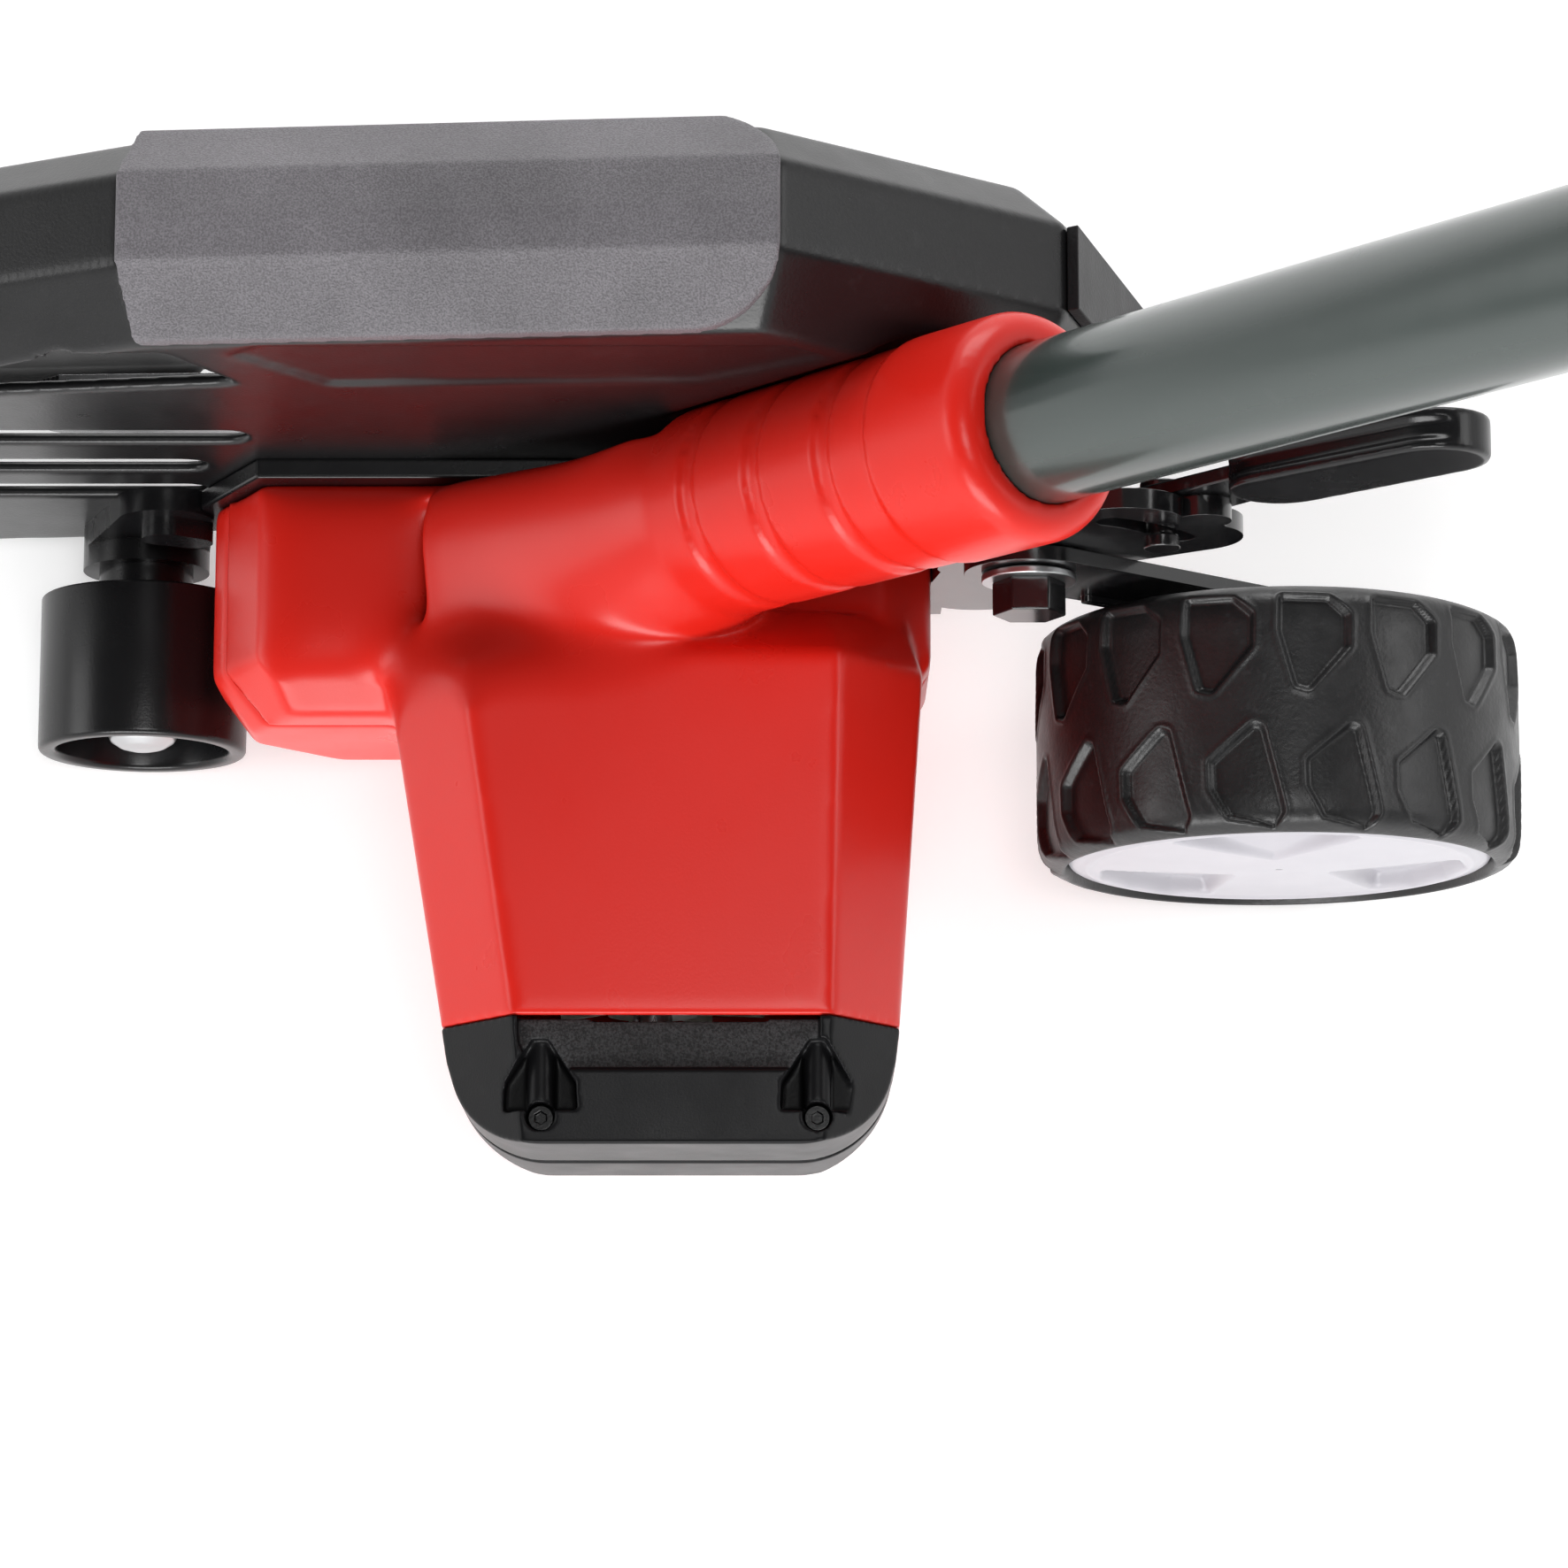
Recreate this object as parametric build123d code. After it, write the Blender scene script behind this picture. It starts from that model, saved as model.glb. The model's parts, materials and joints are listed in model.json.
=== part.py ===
from build123d import *
from math import acos, atan, cos, degrees, pi, radians, sin, sqrt, tan
import os

# Cordless walk-behind lawn edger. Millimetres, +Z up, ground at Z = 0.
# +X points from the blade towards the motor, +Y from the head back to the user.

WALL = 2.6

# The middle of the machine's outline on the ground, where the shared frame sits.
ORIGIN = (19.4875, 377.628, 0.0)

POLE_TILT = 48.6
SOCKET_END = (0, 48, 175.4)
LOWER_TUBE_R = 15.0
UPPER_TUBE_R = 12.5
SOCKET_R = 21.0
LOWER_TUBE_SPAN = (-70, 470)
UPPER_TUBE_SPAN = (250, 960)
CLAMP_S = 440
AUX_S = 700
HANDLE_S = 950
GRIP_TILT = 25

BLADE_YZ = (-62.0, 48.0)
MOTOR_Z = 70.0
GEAR_MODULE = 1.25
PINION_TEETH = 24
GEAR_TEETH = 43
GEAR_DISTANCE = GEAR_MODULE * (PINION_TEETH + GEAR_TEETH) / 2
MOTOR_YZ = (BLADE_YZ[0] + sqrt(GEAR_DISTANCE**2 - (MOTOR_Z - BLADE_YZ[1])**2), MOTOR_Z)

PIVOT_YZ = (49.0, 90.0)
DETENT_POLAR = (33.4, 41.5)
LEVER_X = (-2.2, 0.8)
SECTOR_X = (1.2, 5.2)
ARM_X = (5.6, 8.6)
WHEEL_YZ = (102.0, 50.0)
WHEEL_R = 50.0
TREAD_COUNT = 16
INNER_TREAD = [(5.9, -8.0), (-4.6, -7.6), (-8.4, -4.4), (-8.2, 2.2), (0.5, 11.6), (2.8, 11.0), (6.2, -1.0)]
OUTER_TREAD = [(-2.2, -11.6), (-3.4, -11.2), (-7.9, 7.0), (-6.3, 8.6), (3.8, 7.4), (7.3, 1.4), (7.4, -4.0)]
ROLLER_YZ = (-136.5, 22.0)
ROLLER_R = 22.0

GUARD_SIDE_X = (-57.0, -17.0)
GUARD_BAND_X = (-47.0, -30.0)
GUARD_BEVEL = 11.0
GUARD = [(66, 20), (71, 86), (54, 145), (-1, 187), (-123, 177), (-180, 148), (-196, 86), (-188, 0)]
GUARD_FOOT = [(90, 36), (20, 24), (-115, 24), (-137, 8), (-210, 8), (-210, -30), (90, -30)]

CASE = [(-118, 39), (-98, 16), (18, 16), (30, 30), (30, 70), (20, 80), (-105, 80), (-118, 56)]
NECK_ROOT = [(-58, 56), (6, 56), (24, 64), (24, 76), (8, 86), (-60, 86), (-76, 76), (-76, 64)]
MOTOR_ROOT = [(-64, 36), (11, 36), (28, 58), (28, 82), (11, 104), (-64, 104), (-80, 82), (-80, 58)]
MOTOR_SEAM = [(-53, 38), (9.5, 38), (23, 58), (23, 82), (9.5, 101), (-53, 101), (-68, 82), (-68, 58)]
CAP_END = [(-51, 40), (8, 40), (20, 58), (20, 82), (8, 98), (-51, 98), (-64, 82), (-64, 58)]
SPLIT_Z = 62.0
CAP_SPLIT_Z = 66.0
CAP_SCREW_Y = (-47.5, 6.5)

pole = Plane(
    origin=SOCKET_END,
    x_dir=(1, 0, 0),
    z_dir=(0, cos(radians(POLE_TILT)), sin(radians(POLE_TILT))),
)
grip = Plane(
    origin=(pole * Pos(0, 0, HANDLE_S)).position,
    x_dir=(0, cos(radians(GRIP_TILT)), sin(radians(GRIP_TILT))),
    z_dir=(1, 0, 0),
)


def side_plane(x):
    return Plane(origin=(x, 0, 0), x_dir=(0, 1, 0), z_dir=(1, 0, 0))


def yz_face(points, x):
    return side_plane(x) * make_face(Polyline(*points, close=True))


def yz_prism(points, x0, x1):
    return extrude(yz_face(points, x0), amount=x1 - x0, dir=(1, 0, 0))


def yz_loft(*stations):
    return loft([yz_face(points, x).face() for points, x in stations], ruled=True)


def cyl_x(yz, radius, x0, x1):
    return side_plane(x0) * Pos(yz[0], yz[1], (x1 - x0) / 2) * Cylinder(radius, x1 - x0)


def ring_x(yz, outer, inner, x0, x1):
    return cyl_x(yz, outer, x0, x1) - cyl_x(yz, inner, x0 - 1, x1 + 1)


def cyl_s(radius, s0, s1, x=0, y=0):
    return pole * Pos(x, y, (s0 + s1) / 2) * Cylinder(radius, s1 - s0)


def ring_s(outer, inner, s0, s1):
    return cyl_s(outer, s0, s1) - cyl_s(inner, s0 - 1, s1 + 1)


def grip_prism(points, half_width):
    face = grip * make_face(Polyline(*points, close=True))
    return extrude(face, amount=half_width, dir=(1, 0, 0), both=True)


def grip_box(a, n, x):
    centre = Pos((a[0] + a[1]) / 2, (n[0] + n[1]) / 2, (x[0] + x[1]) / 2)
    return grip * centre * Box(a[1] - a[0], n[1] - n[0], x[1] - x[0])


def box(x, y, z):
    centre = Pos((x[0] + x[1]) / 2, (y[0] + y[1]) / 2, (z[0] + z[1]) / 2)
    return centre * Box(x[1] - x[0], y[1] - y[0], z[1] - z[0])


def capsule(start, end, radius_a, radius_b, x0, x1):
    """Plate along X with rounded ends round two points."""
    dy = end[0] - start[0]
    dz = end[1] - start[1]
    length = sqrt(dy * dy + dz * dz)
    ny = -dz / length
    nz = dy / length
    sides = [
        (start[0] + ny * radius_a, start[1] + nz * radius_a),
        (end[0] + ny * radius_b, end[1] + nz * radius_b),
        (end[0] - ny * radius_b, end[1] - nz * radius_b),
        (start[0] - ny * radius_a, start[1] - nz * radius_a),
    ]
    ends = cyl_x(start, radius_a, x0, x1) + cyl_x(end, radius_b, x0, x1)
    return yz_prism(sides, x0, x1) + ends


def inset(points, distance):
    """Move every side of a counter-clockwise convex outline inwards."""
    count = len(points)
    lines = []
    for i in range(count):
        (ay, az), (by, bz) = points[i], points[(i + 1) % count]
        length = sqrt((by - ay)**2 + (bz - az)**2)
        ny, nz = -(bz - az) / length, (by - ay) / length
        lines.append((ny, nz, ny * ay + nz * az + distance))
    result = []
    for i in range(count):
        (a1, b1, c1), (a2, b2, c2) = lines[i - 1], lines[i]
        det = a1 * b2 - a2 * b1
        result.append(((c1 * b2 - c2 * b1) / det, (a1 * c2 - a2 * c1) / det))
    return result


def turned(profile, yz):
    """Solid of revolution about X from (x, radius) points."""
    face = make_face(Polyline(*[(x, 0, r) for x, r in profile], close=True))
    return Pos(0, *yz) * revolve(face, axis=Axis.X)


def polar(yz, radius, angle):
    return (yz[0] + radius * cos(radians(angle)), yz[1] + radius * sin(radians(angle)))


# ------------------------------------------------------------------ blade guard
def guard_body(wall):
    outline = inset(GUARD, wall)
    low, high = GUARD_SIDE_X[0] + wall, GUARD_SIDE_X[1] - wall
    edge = inset(outline, GUARD_BEVEL)
    band = yz_prism(outline, *GUARD_BAND_X)
    blade_bevel = yz_loft((edge, low), (outline, GUARD_BAND_X[0]))
    motor_bevel = yz_loft((outline, GUARD_BAND_X[1]), (edge, high))
    return band + blade_bevel + motor_bevel


def guard_windows():
    x0, x1 = GUARD_SIDE_X[1] - 6, GUARD_SIDE_X[1] + 2
    window = yz_prism([(-105, 140), (-117, 161), (-135, 159), (-152, 148), (-158, 132)], x0, x1)
    for (z0, z1), y1 in (((95, 104), -107), ((72, 81), -117.5), ((51.5, 60.5), -119.5)):
        z, r = (z0 + z1) / 2, (z1 - z0) / 2
        window += capsule((-168, z), (y1 - r, z), r, r, x0, x1)
    return window


def make_guard():
    shell = guard_body(0) - guard_body(WALL)
    scoop = cyl_s(SOCKET_R + 4.4, -97, 60) & guard_body(0)
    shell += scoop - box((-80, -30), (-300, 300), (-50, 300))
    shell -= cyl_s(SOCKET_R + 1.4, -94, 80)
    shell -= yz_prism(GUARD_FOOT, -70, 0)
    shell -= yz_prism(inset(GUARD, 30), -70, GUARD_SIDE_X[0] + 8)
    panel = [(-16, 141.5), (8, 158.5), (0, 166), (-98, 166), (-104, 160), (-87, 138.5)]
    shell -= yz_prism(panel, GUARD_SIDE_X[1] - 1, GUARD_SIDE_X[1] + 1)
    shell -= guard_windows()
    shell -= cyl_x(BLADE_YZ, 16.0, -30, 0)
    return shell.solids().sort_by(SortBy.VOLUME)[-1]


def corner_line(index):
    """Unit vector that halves the guard outline's corner, pointing inwards."""
    y, z = GUARD[index]
    total = [0.0, 0.0]
    for other in (GUARD[index - 1], GUARD[index + 1]):
        length = sqrt((other[0] - y)**2 + (other[1] - z)**2)
        total[0] += (other[0] - y) / length
        total[1] += (other[1] - z) / length
    size = sqrt(total[0]**2 + total[1]**2)
    return (total[0] / size, total[1] / size)


def make_bumper():
    pad = guard_body(-2.2) - guard_body(0)
    wedge = []
    for index, steps in ((3, (-8, 30)), (4, (30, -8))):
        dy, dz = corner_line(index)
        wedge += [(GUARD[index][0] + s * dy, GUARD[index][1] + s * dz) for s in steps]
    pad &= yz_prism(wedge, GUARD_SIDE_X[0] - 1.2, GUARD_SIDE_X[1])
    plan = box((GUARD_SIDE_X[0] - 2.2, GUARD_SIDE_X[1]), (-150, 1), (120, 220))
    rear = plan.edges().filter_by(Axis.Z).group_by(Axis.Y)[-1]
    pad &= fillet(rear, 18)
    pad -= cyl_s(SOCKET_R + 1.4, -94, 80)
    return largest(pad)


def make_flap():
    outer = [(68.8, 28), (73.6, 86.2), (56.2, 146.4), (53, 144), (69, 86), (65, 28)]
    panel = yz_prism(outer, -46.8, -30.2) - guard_body(0)
    rib = yz_prism([(72, 84), (74.8, 84.5), (74.6, 88.5), (72, 88.5)], -46.8, -30.2)
    return panel + (rib - guard_body(0))


# ------------------------------------------------------------------ gear case and motor housing
def housing_body(wall):
    base = inset(CASE, wall)
    case = yz_prism(base, GUARD_SIDE_X[1] + 4 + wall, 23)
    case += yz_loft((base, 23), (inset(base, 8), 34 - wall))
    root = yz_loft((inset(NECK_ROOT, wall), 15 + wall), (inset(MOTOR_ROOT, wall), 27))
    column = yz_loft((inset(MOTOR_ROOT, wall), 27), (inset(MOTOR_SEAM, wall), 99 + wall))
    return case + root + column


def neck_body(wall):
    low = pole * Pos(0, 0, -150) * Ellipse(42 - wall, 34 - wall)
    high = pole * Pos(0, 0, -90) * Circle(SOCKET_R - wall)
    cone = loft([low.face(), high.face()])
    inside = box((GUARD_SIDE_X[1] + 4 + wall, 60), (-90, 60), (60, 140))
    return cone & inside


def make_socket():
    socket = cyl_s(SOCKET_R, -92, -6) + cyl_s(SOCKET_R + 0.8, -26, 0)
    socket = socket.solids().sort_by(SortBy.VOLUME)[-1]
    rim = socket.edges().filter_by(GeomType.CIRCLE).sort_by_distance(pole.origin)[0]
    socket = fillet(rim, 5)
    for s in (-39, -59, -78):
        socket -= ring_s(SOCKET_R + 3, SOCKET_R - 0.9, s - 2.2, s + 2.2)
    return socket


def make_housing():
    outer = housing_body(0) + neck_body(0) + make_socket()
    void = housing_body(WALL) + neck_body(WALL)
    shell = outer - void - box((99, 140), (-100, 60), (0, 120))
    shell -= cyl_s(LOWER_TUBE_R, LOWER_TUBE_SPAN[0], 20)
    shell -= cyl_s(LOWER_TUBE_R - 3, -100, 0)
    shell -= cyl_x(BLADE_YZ, 16.0, -20, -5)
    ribs = shell_ribs()
    shell += ribs & (outer - box((99, 140), (-100, 60), (0, 120)))
    upper = shell & box((-40, 100), (-130, 80), (SPLIT_Z, 230))
    lower = shell & box((-40, 100), (-130, 80), (0, SPLIT_Z))
    return largest(upper), largest(lower)


def shell_ribs():
    """Saddles that hold the motor can and the gearbox plate."""
    rib = box((30, 33), (-90, 40), (20, 120)) + box((74, 77), (-90, 40), (20, 120))
    return rib - cyl_x(MOTOR_YZ, 26.2, 20, 90)


def largest(shape):
    return shape.solids().sort_by(SortBy.VOLUME)[-1]


def cap_body(wall):
    section = yz_loft((inset(MOTOR_SEAM, wall), 99.2), (inset(CAP_END, wall), 124 - wall))
    outline = [(80, -90), (99, -69 + wall), (124 - wall, -61.5 + wall), (124 - wall, 17.5 - wall),
               (99, 24 - wall), (80, 45)]
    plan = extrude(make_face(Polyline(*outline, close=True)), amount=140)
    ends = plan.edges().filter_by(Axis.Z).group_by(Axis.X)[-1]
    return section & fillet(ends, 19 - wall)


def boss_relief(y):
    """Tear-shaped scoop with a half-round boss in it and a screw pit past its end."""
    tear = [(103.5, -1.5), (112, -7), (117.4, -7.3), (117.4, 7.3), (112, 7), (103.5, 1.5)]
    scoop = Pos(0, y, 92.5) * extrude(make_face(Polyline(*tear, close=True)), amount=20)
    boss = cyl_x((y, 94.5), 2.7, 100, 117.4)
    pit = Pos(118.6, y, 101) * Cylinder(2.9, 16)
    return (scoop - boss) + pit


def make_cap():
    shell = cap_body(0) - cap_body(WALL)
    for y in CAP_SCREW_Y:
        shell += box((100, 123), (y - 9.5, y + 9.5), (88, 110)) & cap_body(0)
    panel = yz_prism([(-52, 98.4), (7, 98.4), (7, 120), (-52, 120)], 90, 109.5)
    corners = panel.edges().filter_by(Axis.Z).group_by(Axis.X)[-1]
    shell -= fillet(corners, 7)
    for y in CAP_SCREW_Y:
        shell -= boss_relief(y)
    for y in (-40, -22, -4):
        shell -= box((103, 117), (y - 1.6, y + 1.6), (30, 48))
    upper = shell & box((90, 130), (-100, 60), (CAP_SPLIT_Z + 2, 130))
    lower = shell & box((90, 130), (-100, 60), (0, CAP_SPLIT_Z - 2))
    liner = cap_body(WALL + 0.2) - cap_body(WALL + 2.2)
    liner = largest(liner & box((99.5, 130), (-100, 60), (CAP_SPLIT_Z - 8, CAP_SPLIT_Z + 8)))
    screws = cap_screw(CAP_SCREW_Y[0]) + cap_screw(CAP_SCREW_Y[1])
    return largest(upper), largest(lower), liner, screws


def cap_screw(y):
    head = Pos(118.6, y, 93.8) * Cylinder(2.5, 1.6)
    return head - Pos(118.6, y, 94) * extrude(RegularPolygon(1.3, 6), amount=1.5)


def make_mount_plate():
    plate = yz_prism(inset(CASE, -3), GUARD_SIDE_X[1], GUARD_SIDE_X[1] + 4)
    plate -= cyl_s(SOCKET_R + 1.4, -94, 80)
    seat = ring_x(BLADE_YZ, 16.0, 11.0, GUARD_SIDE_X[1] - 3, -5)
    return plate - cyl_x(BLADE_YZ, 16.0, -20, 0) + seat


# ------------------------------------------------------------------ drive train
def involute_gear(teeth, width, bore, x0, yz, phase):
    """Spur gear with its axis along X and a tooth centred on the phase angle."""
    pitch = GEAR_MODULE * teeth / 2
    base = pitch * cos(radians(20))
    tip, root = pitch + 0.85 * GEAR_MODULE, pitch - 1.2 * GEAR_MODULE
    backlash = 0.22
    half = (pi / 2 - backlash / GEAR_MODULE) / teeth + tan(radians(20)) - radians(20)
    flank = []
    for i in range(6):
        r = max(base, root) + (tip - max(base, root)) * i / 5
        roll = acos(min(1.0, base / r))
        flank.append((r, half - (tan(roll) - roll)))
    points = []
    for t in range(teeth):
        centre = 2 * pi * t / teeth + radians(phase)
        points.append((root, centre - half - 0.01))
        points += [(r, centre - a) for r, a in flank]
        points += [(r, centre + a) for r, a in reversed(flank)]
        points.append((root, centre + half + 0.01))
    outline = [(yz[0] + r * cos(a), yz[1] + r * sin(a)) for r, a in points]
    return yz_prism(outline, x0, x0 + width) - cyl_x(yz, bore, x0 - 1, x0 + width + 1)


def mesh_angle():
    return degrees(atan((MOTOR_YZ[1] - BLADE_YZ[1]) / (MOTOR_YZ[0] - BLADE_YZ[0])))


def make_driven_gear():
    gear = involute_gear(GEAR_TEETH, 8, 6.0, 2, BLADE_YZ, mesh_angle())
    for i in range(5):
        gear -= cyl_x(polar(BLADE_YZ, 16.5, 72 * i), 4.6, 0, 12)
    return gear + ring_x(BLADE_YZ, 10.5, 6.0, -1, 2)


def make_pinion():
    phase = mesh_angle() + 180 + 180 / PINION_TEETH
    return involute_gear(PINION_TEETH, 10, 4.0, 1, MOTOR_YZ, phase)


def make_spindle():
    shaft = cyl_x(BLADE_YZ, 5.95, -34, 22) + cyl_x(BLADE_YZ, 8.0, -34, -15.5)
    return shaft + cyl_x(BLADE_YZ, 4.95, -50, -34)


def make_blade():
    tips = [(-95, -19), (-88, -25), (88, -17), (95, -10), (95, 19), (88, 25), (-88, 17), (-95, 10)]
    outline = [(BLADE_YZ[0] + y, BLADE_YZ[1] + z) for y, z in tips]
    blade = yz_prism(outline, -39.5, -37)
    for y in (-17, 17):
        blade -= cyl_x((BLADE_YZ[0] + y, BLADE_YZ[1]), 3.0, -45, -30)
    return blade - cyl_x(BLADE_YZ, 4.95, -45, -30)


def hexagon_x(yz, radius, x0, x1):
    face = side_plane(x0) * Pos(yz[0], yz[1], 0) * RegularPolygon(radius, 6)
    return extrude(face, amount=x1 - x0, dir=(1, 0, 0))


def make_rotor():
    core = cyl_x(MOTOR_YZ, 15.5, 34, 66)
    for i in range(12):
        core -= cyl_x(polar(MOTOR_YZ, 15.5, 30 * i), 1.4, 30, 70)
    core += cyl_x(MOTOR_YZ, 8.0, 66, 76)
    return core - cyl_x(MOTOR_YZ, 4.0, 30, 80)


def make_fan():
    fan = cyl_x(MOTOR_YZ, 9.0, 86, 95) + cyl_x(MOTOR_YZ, 24.0, 86, 87.5)
    for i in range(9):
        y0, z0 = polar(MOTOR_YZ, 8, 40 * i)
        y1, z1 = polar(MOTOR_YZ, 23.4, 40 * i + 18)
        fan += capsule((y0, z0), (y1, z1), 0.7, 0.7, 87.5, 94)
    return fan - cyl_x(MOTOR_YZ, 4.0, 80, 99)


def make_motor_can():
    can = cyl_x(MOTOR_YZ, 26.2, 24, 82) - cyl_x(MOTOR_YZ, 24.8, 26.5, 79.5)
    can -= cyl_x(MOTOR_YZ, 4.06, 20, 90)
    for i in range(4):
        can -= capsule(polar(MOTOR_YZ, 13, 90 * i), polar(MOTOR_YZ, 20, 90 * i), 3, 3, 20, 30)
        can -= capsule(polar(MOTOR_YZ, 13, 90 * i), polar(MOTOR_YZ, 20, 90 * i), 3, 3, 75, 90)
    return can


def make_magnets():
    magnets = None
    for i in range(4):
        segment = ring_x(MOTOR_YZ, 24.7, 17.0, 36, 64)
        a, b = polar(MOTOR_YZ, 60, 90 * i + 10), polar(MOTOR_YZ, 60, 90 * i + 80)
        wedge = yz_prism([MOTOR_YZ, a, b], 30, 70)
        magnets = segment & wedge if magnets is None else magnets + (segment & wedge)
    return magnets


def make_bearings():
    rings = ring_x(BLADE_YZ, 11.0, 6.0, -14, -6) + ring_x(BLADE_YZ, 11.0, 6.0, 13.5, 19.5)
    return rings + ring_x(MOTOR_YZ, 11.0, 4.05, 13.5, 19.5)


def make_gearbox_plate():
    plate = capsule(BLADE_YZ, MOTOR_YZ, 24, 26, 13.5, 19.5)
    plate -= cyl_x(BLADE_YZ, 11.0, 10, 30)
    plate -= cyl_x(MOTOR_YZ, 11.0, 10, 30)
    return largest(plate & housing_body(WALL + 0.1))


# ------------------------------------------------------------------ wheels and depth lever
def tread_pocket(outline, middle, angle):
    """Shield-shaped pocket in the tyre at a distance along the axle and an angle round it."""
    place = Plane(
        origin=(middle, *polar(WHEEL_YZ, WHEEL_R - 1.8, angle)),
        x_dir=(0, -sin(radians(angle)), cos(radians(angle))),
        z_dir=(0, cos(radians(angle)), sin(radians(angle))),
    )
    points = [(u, -x) for u, x in reversed(outline)]
    face = place * make_face(Polyline(*points, close=True))
    return extrude(face, amount=6, dir=place.z_dir)


def make_tyre():
    profile = [(12, 44), (12, 46.4), (14, 48.6), (18, 49.6), (30, WHEEL_R), (44, WHEEL_R),
               (56, 49.6), (60, 48.6), (62, 46.4), (62, 44)]
    ring = turned(profile, WHEEL_YZ)
    step = 360 / TREAD_COUNT
    for i in range(TREAD_COUNT):
        ring -= tread_pocket(INNER_TREAD, 22.8, 87.7 + i * step)
        ring -= tread_pocket(OUTER_TREAD, 52.0, 80.5 + i * step)
    return ring


def make_wheel_rim():
    rim = ring_x(WHEEL_YZ, 43.9, 41.0, 12.5, 57) + cyl_x(WHEEL_YZ, 42, 33, 37)
    rim += cyl_x(WHEEL_YZ, 11.0, 10.6, 52)
    for i in range(6):
        rim += capsule(polar(WHEEL_YZ, 10, 60 * i), polar(WHEEL_YZ, 41.5, 60 * i), 1.6, 1.6, 37, 50)
        rim += capsule(polar(WHEEL_YZ, 10, 60 * i), polar(WHEEL_YZ, 41.5, 60 * i), 1.6, 1.6, 20, 33)
    return rim - cyl_x(WHEEL_YZ, 6.06, 0, 70)


def make_hub_cap():
    disc = [(57.1, 0), (57.1, 43.6), (59.4, 43.6), (60.6, 41.0), (61.4, 24), (61.8, 0)]
    cap = turned(disc, WHEEL_YZ)
    for i in range(3):
        tip, left, right = (polar(WHEEL_YZ, r, 120 * i + a) for r, a in ((12, 30), (38, 8), (38, 52)))
        cap -= yz_prism([tip, left, right], 59.6, 66)
    return cap


def make_wheel_axle():
    return cyl_x(WHEEL_YZ, 6.0, ARM_X[1] - 1.2, 54.5) + cyl_x(WHEEL_YZ, 9.0, 52.4, 55)


def make_arm_plate():
    plate = capsule(PIVOT_YZ, WHEEL_YZ, 13, 11, *ARM_X)
    sleeve = cyl_x(PIVOT_YZ, 7.0, LEVER_X[0], ARM_X[0])
    flange = capsule((62, 70), (90, 49), 1.4, 1.4, ARM_X[1], ARM_X[1] + 1.4)
    plate += sleeve + flange - cyl_x(PIVOT_YZ, 4.05, -12, 12)
    plate -= cyl_x(PIVOT_YZ, 4.05, -12, 12)
    return plate - cyl_x(WHEEL_YZ, 6.0, ARM_X[1] - 1.2, 12)


def lever_bar(x0, x1, margin=0.0):
    bar = capsule((76, 113), (97, 138), 8.5 + margin, 7.5 + margin, x0, x1)
    return bar + capsule((97, 138), (122, 160), 7.5 + margin, 7 + margin, x0, x1)


def make_depth_lever():
    bar = capsule(PIVOT_YZ, (76, 113), 12, 8.5, *LEVER_X) + lever_bar(*LEVER_X)
    bar -= cyl_x(polar(PIVOT_YZ, *DETENT_POLAR), 2.4, -12, 12)
    return bar - cyl_x(PIVOT_YZ, 7.0, -12, 12)


def make_paddle():
    paddle = capsule((95.5, 136.7), (121.5, 159.6), 10.5, 10.5, LEVER_X[0] - 2.6, LEVER_X[1] + 2.6)
    return paddle - lever_bar(*LEVER_X)


def make_detent_pin():
    yz = polar(PIVOT_YZ, *DETENT_POLAR)
    pin = cyl_x(yz, 2.4, LEVER_X[0], SECTOR_X[1] + 3.6)
    return pin + cyl_x(yz, 4.2, LEVER_X[0] - 2.4, LEVER_X[0]) + cyl_x(yz, 3.6, SECTOR_X[1] + 1, SECTOR_X[1] + 3.6)


def make_sector_plate():
    plate = capsule((40, 54), PIVOT_YZ, 12, 15, *SECTOR_X) + capsule((37, 80), PIVOT_YZ, 6, 15, *SECTOR_X)
    for angle in (60, 30):
        plate += capsule(PIVOT_YZ, polar(PIVOT_YZ, 34, angle), 15, 12, *SECTOR_X)
    plate += capsule(polar(PIVOT_YZ, 34, 40), (81.5, 120.5), 12, 5.5, *SECTOR_X)
    plate -= box((-5, 6), (-30, 30), (0, 130))
    plate -= cyl_x(PIVOT_YZ, 7.06, -5, 8)
    for i in range(13):
        plate -= cyl_x(polar(PIVOT_YZ, DETENT_POLAR[0], 31 + 2.7 * i), 3.3, -5, 8)
    flange = box((-9, SECTOR_X[1]), (30, 33), (38, 68))
    return plate + flange


def make_pivot_bolt():
    nut_x = LEVER_X[0] - 0.4
    shank = cyl_x(PIVOT_YZ, 4.0, nut_x - 5.5, ARM_X[1] + 3)
    nut = hexagon_x(PIVOT_YZ, 7.4, nut_x - 5.5, nut_x)
    head = hexagon_x(PIVOT_YZ, 7.4, ARM_X[1] + 1.8, ARM_X[1] + 8.6)
    return shank + nut + head


def make_roller():
    body = cyl_x(ROLLER_YZ, ROLLER_R, -1, 32)
    body = body.solids()[0]
    body = chamfer(body.edges().filter_by(GeomType.CIRCLE), 1.2)
    body -= cyl_x(ROLLER_YZ, 18.0, 20, 40)
    body -= cyl_x(ROLLER_YZ, 5.06, -10, 40)
    return body


def make_roller_bracket():
    x0 = GUARD_SIDE_X[1]
    base = capsule(ROLLER_YZ, (-129, 50), 13.4, 10, x0, x0 + 5)
    base += cyl_x(ROLLER_YZ, 13.4, x0, -7.5) + cyl_x(ROLLER_YZ, 10.0, -7.5, -2.4)
    base += capsule((-129, 50), (-124, 47), 5, 4.5, x0, -8)
    base -= yz_prism(inset(CASE, -3), x0 - 1, x0 + 4)
    base -= yz_prism(CASE, x0, 0)
    return base - cyl_x(ROLLER_YZ, 5.0, x0 + 3, 0)


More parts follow.
